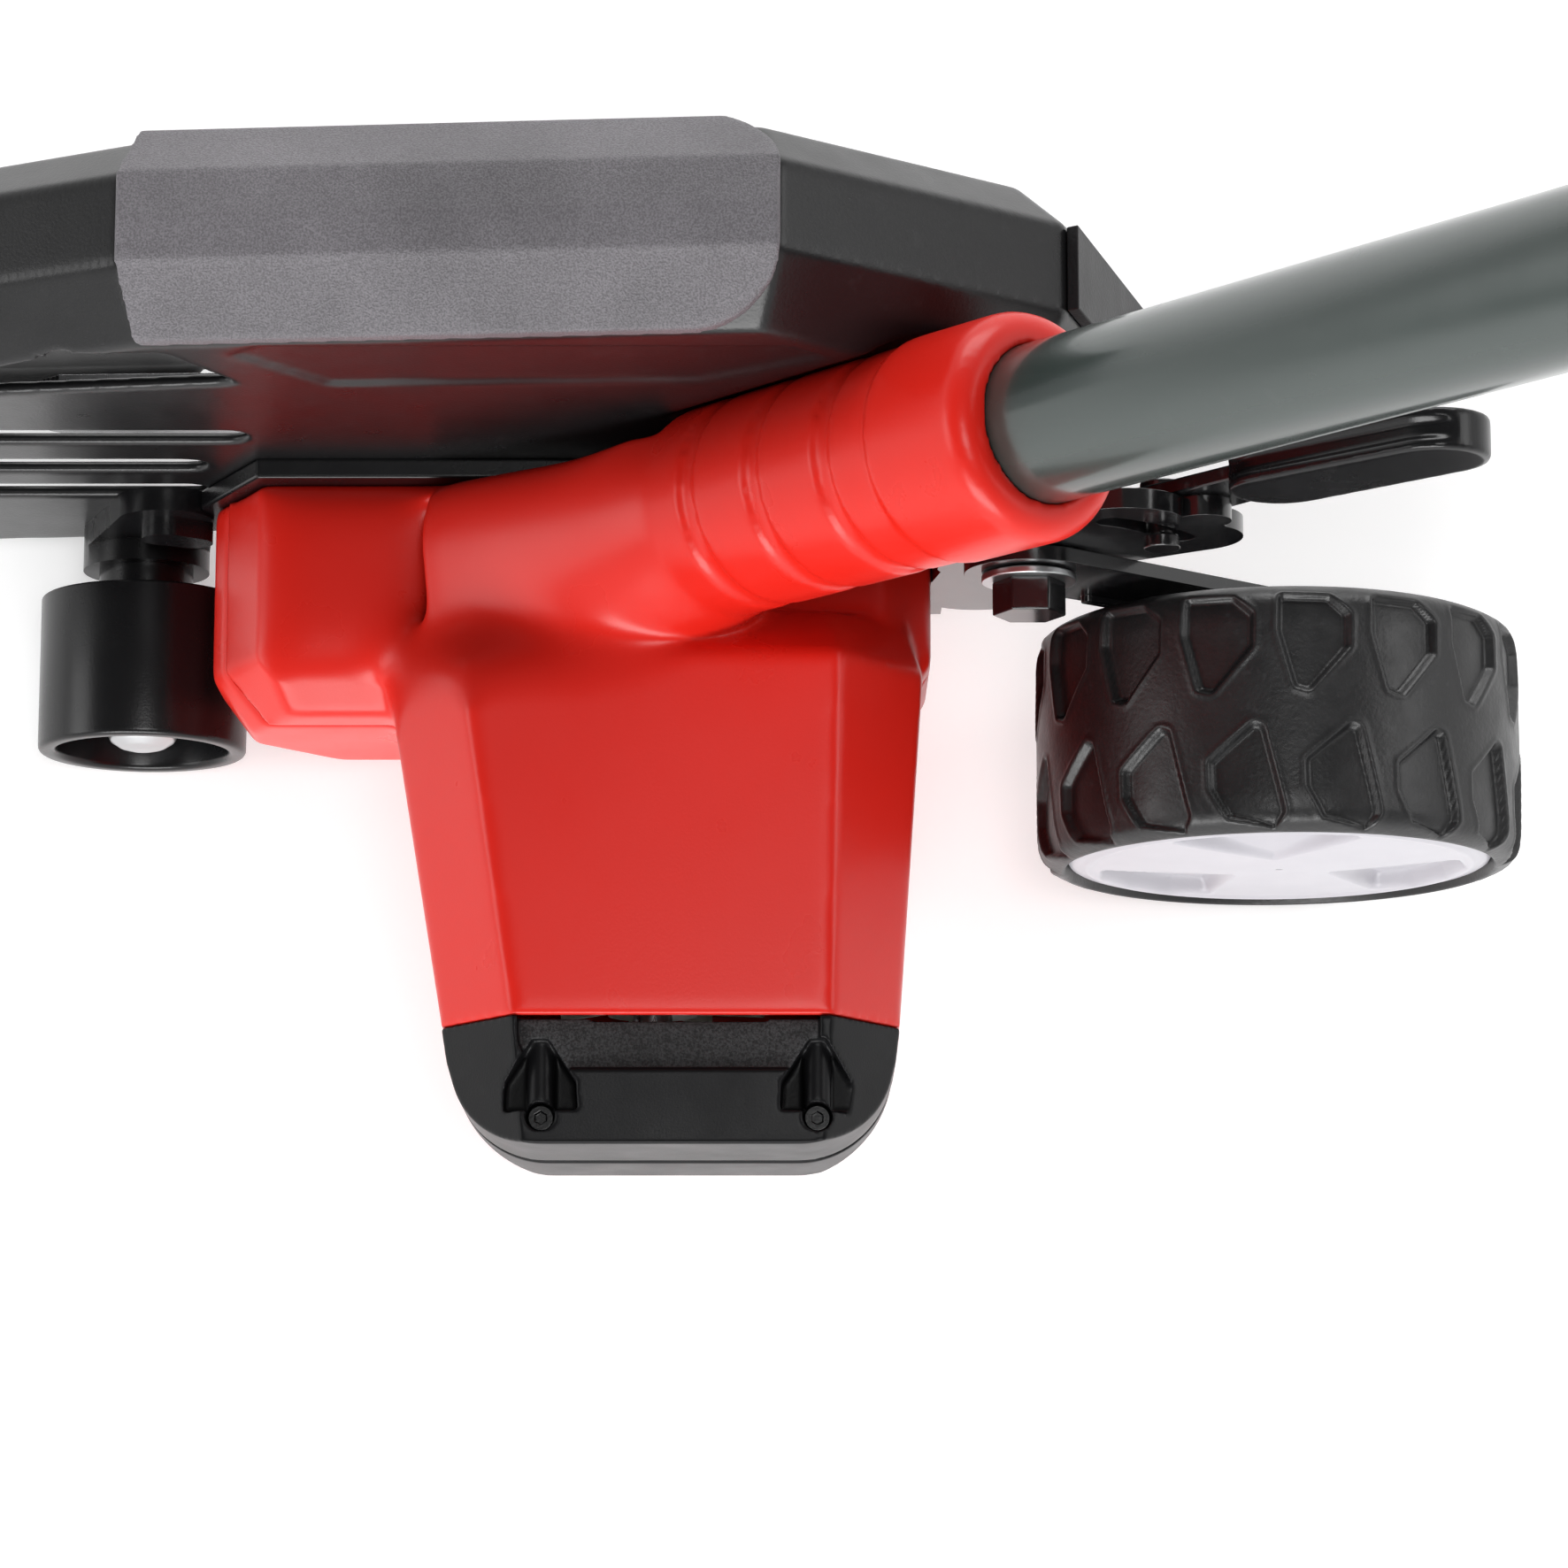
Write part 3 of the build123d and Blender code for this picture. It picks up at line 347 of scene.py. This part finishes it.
def spin(name, node, profile, place, steps=96, closed=True):
    """Turned part; profile holds (along, radius) pairs and place maps them to the frame."""
    bm = bmesh.new()
    rings = []
    for along, radius in profile:
        if radius == 0:
            rings.append([bm.verts.new(place(along, 0, 0))])
            continue
        angles = [2 * pi * i / steps for i in range(steps)]
        rings.append([bm.verts.new(place(along, radius * cos(t), radius * sin(t))) for t in angles])
    pairs = list(zip(rings, rings[1:]))
    if closed:
        pairs.append((rings[-1], rings[0]))
    for low, high in pairs:
        for i in range(steps):
            j = (i + 1) % steps
            corners = [low[i % len(low)], low[j % len(low)], high[j % len(high)], high[i % len(high)]]
            unique = list(dict.fromkeys(corners))
            if len(unique) > 2:
                bm.faces.new(unique)
    return settle(add_object(name, finished_mesh(name, bm)), node)


def rounded(profile, radius, steps=4):
    """Profile of a turned part with its corners rounded; corners that touch the axis stay."""
    out = []
    count = len(profile)
    for i, here in enumerate(profile):
        before, after = Vector(profile[i - 1]), Vector(profile[(i + 1) % count])
        here = Vector(here)
        if here.y == 0:
            out.append(tuple(here))
            continue
        reach = min(radius, (before - here).length * 0.45, (after - here).length * 0.45)
        start = here + (before - here).normalized() * reach
        end = here + (after - here).normalized() * reach
        for k in range(steps + 1):
            f = k / steps
            out.append(tuple(start * (1 - f)**2 + here * 2 * f * (1 - f) + end * f**2))
    return out


def grid_mesh(name, points):
    """Mesh from a grid of points, in millimetres from HOME, that closes on itself both ways."""
    rows, columns = points.shape[:2]
    i, j = np.meshgrid(np.arange(rows), np.arange(columns), indexing="ij")
    k, m = (i + 1) % rows, (j + 1) % columns
    corners = [i * columns + j, i * columns + m, k * columns + m, k * columns + j]
    quads = np.stack(corners, axis=-1).reshape(-1, 4)
    places = (np.array(HOME) + points / 1000).reshape(-1, 3)
    bm = bmesh.new()
    verts = [bm.verts.new(place) for place in places.tolist()]
    for quad in quads.tolist():
        bm.faces.new([verts[corner] for corner in quad])
    return finished_mesh(name, bm)


def from_polygon(points, u, v, corner):
    """Signed distance to a polygon with rounded corners, negative inside."""
    best = np.full(u.shape, 1e9)
    inside = np.zeros(u.shape, dtype=bool)
    for (ax, ay), (bx, by) in zip(points, points[1:] + points[:1]):
        ex, ey = bx - ax, by - ay
        wx, wy = u - ax, v - ay
        t = np.clip((wx * ex + wy * ey) / (ex * ex + ey * ey), 0, 1)
        best = np.minimum(best, np.hypot(wx - t * ex, wy - t * ey))
        crosses = (ay > v) != (by > v)
        rise = np.where(by == ay, 1, by - ay)
        lean = np.where(crosses, (bx - ax) * (v - ay) / rise + ax, -1e9)
        inside ^= crosses & (u < lean)
    return np.where(inside, -best, best) - corner


# ------------------------------------------------------------------ CAD parts turned into pieces
def node_mesh(name):
    """Copy of a CAD node's mesh with its seams welded and its flat areas merged."""
    source = frame["nodes"][name]
    mesh = source.data.copy()
    if "custom_normal" in mesh.attributes:
        mesh.attributes.remove(mesh.attributes["custom_normal"])
    mesh.transform(source.matrix_world)
    bm = bmesh.new()
    bm.from_mesh(mesh)
    bmesh.ops.remove_doubles(bm, verts=bm.verts, dist=2e-6)
    bmesh.ops.dissolve_limit(bm, angle_limit=radians(0.6), verts=bm.verts, edges=bm.edges)
    bm.to_mesh(mesh)
    bm.free()
    return mesh


def bevelled(node, width, segments=3):
    """CAD part with its sharp edges broken."""
    mesh = node_mesh(node)
    smooth_shade(mesh)
    obj = add_object(node + "_piece", mesh)
    bevel = obj.modifiers.new("bevel", "BEVEL")
    bevel.width = width / 1000
    bevel.segments = segments
    bevel.limit_method = "ANGLE"
    bevel.angle_limit = radians(28)
    bevel.harden_normals = True
    weighted = obj.modifiers.new("normals", "WEIGHTED_NORMAL")
    weighted.keep_sharp = True
    return settle(obj, node)


RELAX_STEP = 0.6
STILL = 0.001
FAIRING_ROUNDS = 320


def relax(mesh, rounds, softness=None):
    """Evens the surface out into soft folds; softness picks how much, point by point."""
    points = vertices(mesh)
    edges = np.empty(len(mesh.edges) * 2, dtype=np.int64)
    mesh.edges.foreach_get("vertices", edges)
    weight = np.full(len(points), RELAX_STEP)
    if softness:
        weight *= softness(local(points))
    ends = edges.reshape(-1, 2)
    ends = ends[(weight[ends] > STILL).any(axis=1)]
    used, index = np.unique(ends, return_inverse=True)
    a, b = index.reshape(-1, 2).T
    part, share, count = points[used], weight[used][:, None], len(used)
    degree = np.bincount(a, minlength=count) + np.bincount(b, minlength=count)
    degree = np.maximum(degree, 1)[:, None]
    share[share < STILL] = 0
    for _ in range(rounds):
        total = np.empty_like(part)
        for axis in range(3):
            total[:, axis] = (np.bincount(a, part[b, axis], count)
                              + np.bincount(b, part[a, axis], count))
        part += share * (total / degree - part)
    points[used] = part
    move_vertices(mesh, points)


def moulded(node, voxel, rounds, keep=1.0, softness=None, reshape=None, fairing=None):
    """Rebuilds a CAD part as one even skin with soft folds, as a moulding has."""
    obj = add_object(node + "_piece", node_mesh(node))
    remesh = obj.modifiers.new("remesh", "REMESH")
    remesh.mode = "VOXEL"
    remesh.voxel_size = voxel / 1000
    mesh = baked(obj)
    relax(mesh, rounds, softness)
    if fairing:
        relax(mesh, FAIRING_ROUNDS, fairing)
    if reshape:
        move_vertices(mesh, reshape(mesh, vertices(mesh)))
    if keep < 1.0:
        thin = obj.modifiers.new("thin", "DECIMATE")
        thin.ratio = keep
        mesh = baked(obj)
    smooth_shade(mesh)
    return settle(obj, node)


# ------------------------------------------------------------------ wheel
# The tyre's outlines hold (x, radius) pairs, and the hub cap's hold (radius, x) pairs.
TYRE_LEFT, TYRE_RIGHT = 12.3, 61.7
CROWN = [(TYRE_LEFT, 45.2), (12.8, 46.9), (14.0, 48.3), (16.0, 49.2), (19, 49.55), (30, 49.7),
         (44, 49.7), (55, 49.55), (58, 49.2), (60, 48.3), (61.2, 46.9), (TYRE_RIGHT, 45.2)]
TYRE_BACK = [(61.9, 44.6), (61.6, 44.05), (37, 44.05), (12.4, 44.05), (12.1, 44.6)]

INNER_POCKET = [(5.9, -8.0), (-4.6, -7.6), (-8.4, -4.4), (-8.2, 2.2), (0.5, 11.6), (2.8, 11.0),
                (6.2, -1.0)]
OUTER_POCKET = [(-2.2, -11.6), (-3.4, -11.2), (-7.9, 7.0), (-6.3, 9.3), (3.8, 7.4), (7.3, 1.4),
                (7.4, -4.0)]
TREAD_PITCH = 22.5
# Each row's pocket outline, its middle across the tyre, and the angle of its first pocket.
TREAD_ROWS = ((INNER_POCKET, 22.8, 87.7), (OUTER_POCKET, 52.0, 80.5))
POCKET_CORE = (0.88, 0.9)
POCKET_CORNER = 0.9
POCKET_DEPTH = 1.75
POCKET_LIP = 0.22

SCOOP = [(13, 0), (31, -17), (35.5, -11), (37, 0), (35.5, 11), (31, 17)]
SCOOP_DEPTH = 3.5
SCOOP_CORNER = 1.5
SCOOP_TURN = -20
CAP_FACE_X = 61.75
CAP_LIMIT_X = 61.8
CAP_FACE_RADIUS = 40.6
CAP_DOME = 0.9
CAP_LIP = 0.55
CAP_LIP_RADIUS = 39.6
CAP_LIP_WIDTH = 1.1
CAP_EDGE = [(41.2, 60.9), (42.2, 60.75), (43.0, 60.3), (43.5, 59.5), (43.55, 58.0)]
CAP_BACK = [(43.55, 57.4), (43.0, 57.12), (0.6, 57.12)]


def tread_depth(x, angle):
    """Depth of the tread pockets, and the slight lip round each, across the tyre."""
    depth = np.zeros(x.shape)
    for polygon, middle, first in TREAD_ROWS:
        turn = (angle - first + TREAD_PITCH / 2) % TREAD_PITCH - TREAD_PITCH / 2
        core = [(u * POCKET_CORE[0], v * POCKET_CORE[1]) for u, v in polygon]
        d = from_polygon(core, np.radians(turn) * WHEEL_RADIUS, x - middle, POCKET_CORNER)
        depth += POCKET_DEPTH * (1 - fade(-0.75, 0.25, d))
        depth -= POCKET_LIP * np.exp(-((d - 0.75) / 0.45)**2)
    return depth


def ring_points(x, radius, angle):
    """Points round the wheel's axle."""
    return np.stack([x, WHEEL_Y + radius * np.cos(angle), WHEEL_Z + radius * np.sin(angle)], axis=-1)


def make_tyre():
    across = np.linspace(TYRE_LEFT, TYRE_RIGHT, 104)
    radii = np.interp(across, *zip(*CROWN))
    for _ in range(3):
        radii[1:-1] = (radii[:-2] + radii[1:-1] * 2 + radii[2:]) / 4
    angles = np.linspace(0, 360, 640, endpoint=False)
    x, angle = np.meshgrid(across, angles, indexing="ij")
    outside = np.minimum(radii[:, None] - tread_depth(x, angle), WHEEL_RADIUS)
    back_x, back_r = (np.array(side)[:, None] + 0 * angles for side in zip(*TYRE_BACK))
    x = np.vstack([x, back_x])
    radius = np.vstack([outside, back_r])
    mesh = grid_mesh("tyre_piece", ring_points(x, radius, np.radians(angles)[None, :]))
    settle(add_object("tyre_piece", mesh), "tyre")


def scoop_depth(y, z):
    """Three rounded triangular scoops in the hub cap, deepest next to the rim."""
    depth = np.zeros(y.shape)
    for i in range(3):
        a = radians(120 * i + SCOOP_TURN)
        u = y * cos(a) + z * sin(a)
        v = -y * sin(a) + z * cos(a)
        d = from_polygon(SCOOP, u, v, SCOOP_CORNER)
        depth += SCOOP_DEPTH * (1 - fade(-2.0, 0.3, d)) * (0.35 + 0.65 * fade(12, 30, u))
    return depth


def make_hub_cap():
    face_r = np.linspace(0.6, CAP_FACE_RADIUS, 84)
    face_x = CAP_FACE_X - CAP_DOME * (face_r / CAP_FACE_RADIUS)**2
    edge_r, edge_x = zip(*CAP_EDGE)
    radii = np.concatenate([face_r, edge_r])
    lip = CAP_LIP * np.exp(-((radii - CAP_LIP_RADIUS) / CAP_LIP_WIDTH)**2)
    front = np.concatenate([face_x, edge_x]) + lip
    angles = np.radians(np.linspace(0, 360, 360, endpoint=False))
    r, angle = np.meshgrid(radii, angles, indexing="ij")
    scoops = scoop_depth(r * np.cos(angle), r * np.sin(angle))
    x = np.minimum(front[:, None] - scoops, CAP_LIMIT_X)
    back_r, back_x = (np.array(side)[:, None] + 0 * angles for side in zip(*CAP_BACK))
    points = ring_points(np.vstack([x, back_x]), np.vstack([r, back_r]), angles[None, :])
    settle(add_object("hub_cap_piece", grid_mesh("hub_cap_piece", points)), "hub_cap")


# ------------------------------------------------------------------ roller, pole and front handle
ROLLER_Y, ROLLER_Z = -136.5, 22.0
ROLLER = [(-1, 5.06), (-1, 18.0), (0.4, 18.6), (0.4, 20.6), (-1, 21.0), (-1, 22), (32, 22),
          (32, 18.2), (21, 17.6), (20, 16.5), (20, 8.6), (20, 8.0), (20, 5.06)]
ROLLER_BOLT = [(-14, 0), (-14, 5), (21.5, 5), (21.5, 9.4), (24, 9.4), (24, 7.7), (27.4, 7.7),
               (29.4, 6.8), (30.8, 4.6), (31.4, 2.2), (31.5, 0)]

LOWER_TUBE = {"start": -70, "end": 470, "inner": 13.3, "outer": 15}
UPPER_TUBE = {"start": 250, "end": 960, "inner": 11.0, "outer": 12.5}
TUBE_MARKS = (520, 560, 600, 640)
MARK_RADIUS = 12.2

GRIP_AT, GRIP_ABOVE = 700, 170
GRIP_HALF, GRIP_BORE, GRIP_RADIUS = 46, 9.0, 13
GRIP_GROOVES = [-36 + 9 * i for i in range(9)]
GROOVE_RADIUS = 12.2


def make_roller():
    def place(along, u, v):
        return at(along, ROLLER_Y + u, ROLLER_Z + v)

    spin("front_roller_piece", "front_roller", rounded(ROLLER, 1.3), place)
    spin("roller_bolt_piece", "roller_bolt", rounded(ROLLER_BOLT, 0.5), place, steps=64,
         closed=False)


def make_tube(name, start, end, inner, outer, edge, marks=()):
    """Round tube with a shallow ring cut at each mark."""
    profile = [(start, inner), (start, outer)]
    for s in marks:
        profile += [(s, outer), (s + 0.5, MARK_RADIUS), (s + 1.5, MARK_RADIUS), (s + 2, outer)]
    profile += [(end, outer), (end, inner)]
    spin(name + "_piece", name, rounded(profile, edge), along_pole, steps=128)


def make_aux_grip():
    """Foam grip on the front handle, with a ring groove every 9 mm."""
    outline = [(-GRIP_HALF, GRIP_BORE), (-GRIP_HALF, GRIP_RADIUS)]
    for x in GRIP_GROOVES:
        outline += [(x - 1.6, GRIP_RADIUS), (x - 0.8, GROOVE_RADIUS), (x + 0.8, GROOVE_RADIUS),
                    (x + 1.6, GRIP_RADIUS)]
    outline += [(GRIP_HALF, GRIP_RADIUS), (GRIP_HALF, GRIP_BORE)]

    def place(along, u, v):
        return along_pole(GRIP_AT + u, along, GRIP_ABOVE + v)

    spin("aux_grip_piece", "aux_grip", rounded(outline, 0.7), place)


# ------------------------------------------------------------------ moulded parts
PANEL_X = 109.0
PANEL_Y = (-51.6, 6.6)
PANEL_Z = (97.9, 99.4)
BUMPER_MIDDLE_X = -37.5
RIDGE_HALF_WIDTH = 9.0
RIDGE_HEIGHT = 1.6
PADDLE_MIDDLE_X = -0.7
PADDLE_UP = np.array((0, -0.655, 0.755))
TROUGH_DEPTH = 1.2

# Where the housing stays crisp: round the socket, along the seam and at the end of the pod.
SOCKET_SKIN = (22.5, 24.5)
SOCKET_START = (-92, -84)
SEAM_TOP = (62.3, 65)
POD_END = (97.0, 98.4)
CRISPNESS = 0.86
# Where the neck's fairing starts and ends: along the pole, upwards and across.
NECK_END = (-118, -96)
NECK_FLOOR = (76, 82)
NECK_SIDE = (26, 40)


def housing_softness(points):
    """The case and motor pod have broad soft folds; the socket keeps its grooves and rim crisp."""
    x, _, z = points.T
    s, v = pole_distances(points)
    socket = (1 - fade(*SOCKET_SKIN, np.hypot(x, v))) * fade(*SOCKET_START, s)
    seam = 1 - fade(*SEAM_TOP, z)
    edge = fade(*POD_END, x)
    return 1 - CRISPNESS * np.maximum(np.maximum(socket, seam), edge)


def neck_softness(points):
    """Only the fairing between the socket and the case, which runs into both without an edge."""
    x, _, z = points.T
    s, _ = pole_distances(points)
    return (1 - fade(*NECK_END, s)) * fade(*NECK_FLOOR, z) * (1 - fade(*NECK_SIDE, x))


def ridged(mesh, points):
    """Lifts a slight ridge along the middle of the bumper."""
    normals = vertices(mesh, "normal")
    x = local(points)[:, 0]
    crown = np.clip(1 - np.abs(x - BUMPER_MIDDLE_X) / RIDGE_HALF_WIDTH, 0, 1)
    crown *= fade(0.7, 0.95, normals[:, 2])
    return points + np.array((0, 0, RIDGE_HEIGHT / 1000)) * crown[:, None]


def dished(mesh, points):
    """Presses a shallow trough into the paddle's long edge, which leaves a rim round it."""
    normals = vertices(mesh, "normal")
    x = local(points)[:, 0]
    up = fade(0.5, 0.9, normals @ PADDLE_UP)
    trough = up * (1 - fade(0.9, 2.6, np.abs(x - PADDLE_MIDDLE_X)))
    return points - normals * (trough * TROUGH_DEPTH / 1000)[:, None]


def panel_finish(cap):
    """The recessed panel on the end cap has a rough, speckled finish."""
    cap.data.materials.append(MATERIALS["matte_panel"])
    for face in cap.data.polygons:
        x, y, z = local(np.array(face.center))
        on_panel = x < PANEL_X and PANEL_Y[0] < y < PANEL_Y[1] and PANEL_Z[0] < z < PANEL_Z[1]
        if on_panel and face.normal.z > 0.9:
            face.material_index = 1


def make_mouldings():
    moulded("housing_upper", 0.75, 14, keep=0.35, softness=housing_softness, fairing=neck_softness)
    moulded("housing_lower", 0.9, 8, keep=0.35)
    moulded("guard_bumper", 0.6, 3, keep=0.7, reshape=ridged)
    moulded("guard_shell", 0.9, 4, keep=0.35)
    panel_finish(moulded("end_cap_upper", 0.42, 2, keep=0.5))
    moulded("end_cap_lower", 0.6, 3, keep=0.5)
    moulded("lever_paddle", 0.5, 7, reshape=dished)
    moulded("handle_left", 1.1, 4, keep=0.35)
    moulded("handle_right", 1.1, 4, keep=0.35)
    moulded("soft_grip", 0.8, 4, keep=0.6)
    moulded("battery_case", 1.2, 4, keep=0.5)
    moulded("pole_clamp", 0.8, 4, keep=0.6)
    moulded("clamp_lever", 0.7, 4)
    moulded("aux_clamp", 0.8, 4, keep=0.6)
    moulded("aux_loop", 0.9, 8, keep=0.5)
    moulded("aux_knob", 0.6, 5, keep=0.6)
    moulded("trigger", 0.5, 4)
    moulded("lock_off_button", 0.4, 2)
    moulded("battery_latch", 0.4, 2)


BEVEL_WIDTH = {
    "mount_plate": 0.6, "sector_plate": 0.5, "depth_lever": 0.5, "arm_plate": 0.5,
    "pivot_bolt": 0.5, "pivot_washer": 0.3, "detent_pin": 0.4, "blade": 0.25, "blade_nut": 0.5,
    "outer_flange": 0.3, "inner_flange": 0.3, "debris_flap": 0.3, "roller_bracket": 0.5,
    "wheel_axle": 0.4, "wheel_rim": 0.4, "aux_bolt": 0.4, "clamp_pin": 0.3, "battery_foot": 0.4,
    "end_cap_screws": 0.2,
}

make_tyre()
make_hub_cap()
make_roller()
make_tube("lower_tube", **LOWER_TUBE, edge=0.6)
make_tube("upper_tube", **UPPER_TUBE, edge=0.4, marks=TUBE_MARKS)
make_aux_grip()
make_mouldings()
for node_name, width in BEVEL_WIDTH.items():
    bevelled(node_name, width)


# ------------------------------------------------------------------ stage, light and camera
# Each light's place from its aim, in metres, its two sides and its power.
LIGHTS = {
    "key": ((1.9, -0.3, 0.75), (1.6, 0.8), 40),
    "fill": ((-1.8, 0.2, 0.75), (1.6, 0.8), 24),
    "front": ((0.2, -1.9, 0.8), (1.2, 0.8), 9),
    "top": ((0.3, 0.2, 1.9), (0.5, 0.5), 8),
    "rear": ((-0.3, 1.9, 1.2), (1.2, 0.8), 9),
}


# The floor's half width and its gap below the part, in metres.
FLOOR_HALF = 25.0
FLOOR_GAP = 0.0005


def make_floor():
    mesh = bpy.data.meshes.new("floor")
    corners = [(x * FLOOR_HALF, y * FLOOR_HALF, 0) for x, y in ((-1, -1), (1, -1), (1, 1), (-1, 1))]
    mesh.from_pydata(corners, [], [(0, 1, 2, 3)])
    floor = add_object("floor", mesh)
    floor.location.z = cad_box[0][2] - FLOOR_GAP
    mat = material("pale_floor", (0.86, 0.86, 0.86), 0.8, vary=0.01, patch=2.0, grain=300, bump=0.02)
    shader = mat.node_tree.nodes["Principled BSDF"]
    shader.inputs["Emission Color"].default_value = (1, 1, 1, 1)
    shader.inputs["Emission Strength"].default_value = 0.3
    mesh.materials.append(mat)


def make_world():
    """Studio tent: bright towards the horizon, dim overhead."""
    world = bpy.data.worlds.new("studio")
    bpy.context.scene.world = world
    world.use_nodes = True
    nodes, links = world.node_tree.nodes, world.node_tree.links
    coords = nodes.new("ShaderNodeTexCoord")
    split = nodes.new("ShaderNodeSeparateXYZ")
    links.new(coords.outputs["Generated"], split.inputs["Vector"])
    level = nodes.new("ShaderNodeMapRange")
    level.inputs["From Min"].default_value = 0.12
    level.inputs["From Max"].default_value = 0.75
    level.inputs["To Min"].default_value = 1.15
    level.inputs["To Max"].default_value = 0.16
    links.new(split.outputs["Z"], level.inputs["Value"])
    links.new(level.outputs["Result"], nodes["Background"].inputs["Strength"])
    nodes["Background"].inputs["Color"].default_value = (1, 1, 1, 1)


def make_lights():
    aim = at(*LIGHTS_AIM)
    for name, (offset, sides, power) in LIGHTS.items():
        data = bpy.data.lights.new(name, "AREA")
        data.shape = "RECTANGLE"
        data.size, data.size_y = sides
        data.energy = power
        lamp = bpy.data.objects.new(name, data)
        lamp.location = aim + Vector(offset)
        lamp.rotation_euler = (aim - lamp.location).to_track_quat("-Z", "Y").to_euler()
        bpy.context.collection.objects.link(lamp)


def make_camera():
    """Looks almost straight down, with the pole running up and to the right."""
    data = bpy.data.cameras.new("camera")
    data.sensor_width = SENSOR
    data.lens = LENS
    data.clip_start, data.clip_end = 0.05, 50.0
    camera = bpy.data.objects.new("camera", data)
    right = Vector((0, 1, 0))
    up = Vector((-cos(CAMERA_TILT), 0, sin(CAMERA_TILT)))
    back = Vector((sin(CAMERA_TILT), 0, cos(CAMERA_TILT)))
    turn = Matrix((right, up, back)).transposed().to_4x4()
    camera.matrix_world = Matrix.Translation(at(*CAMERA_AT)) @ turn
    bpy.context.collection.objects.link(camera)
    bpy.context.scene.camera = camera


make_floor()
make_world()
make_lights()
make_camera()
bpy.context.scene.view_settings.view_transform = "Standard"
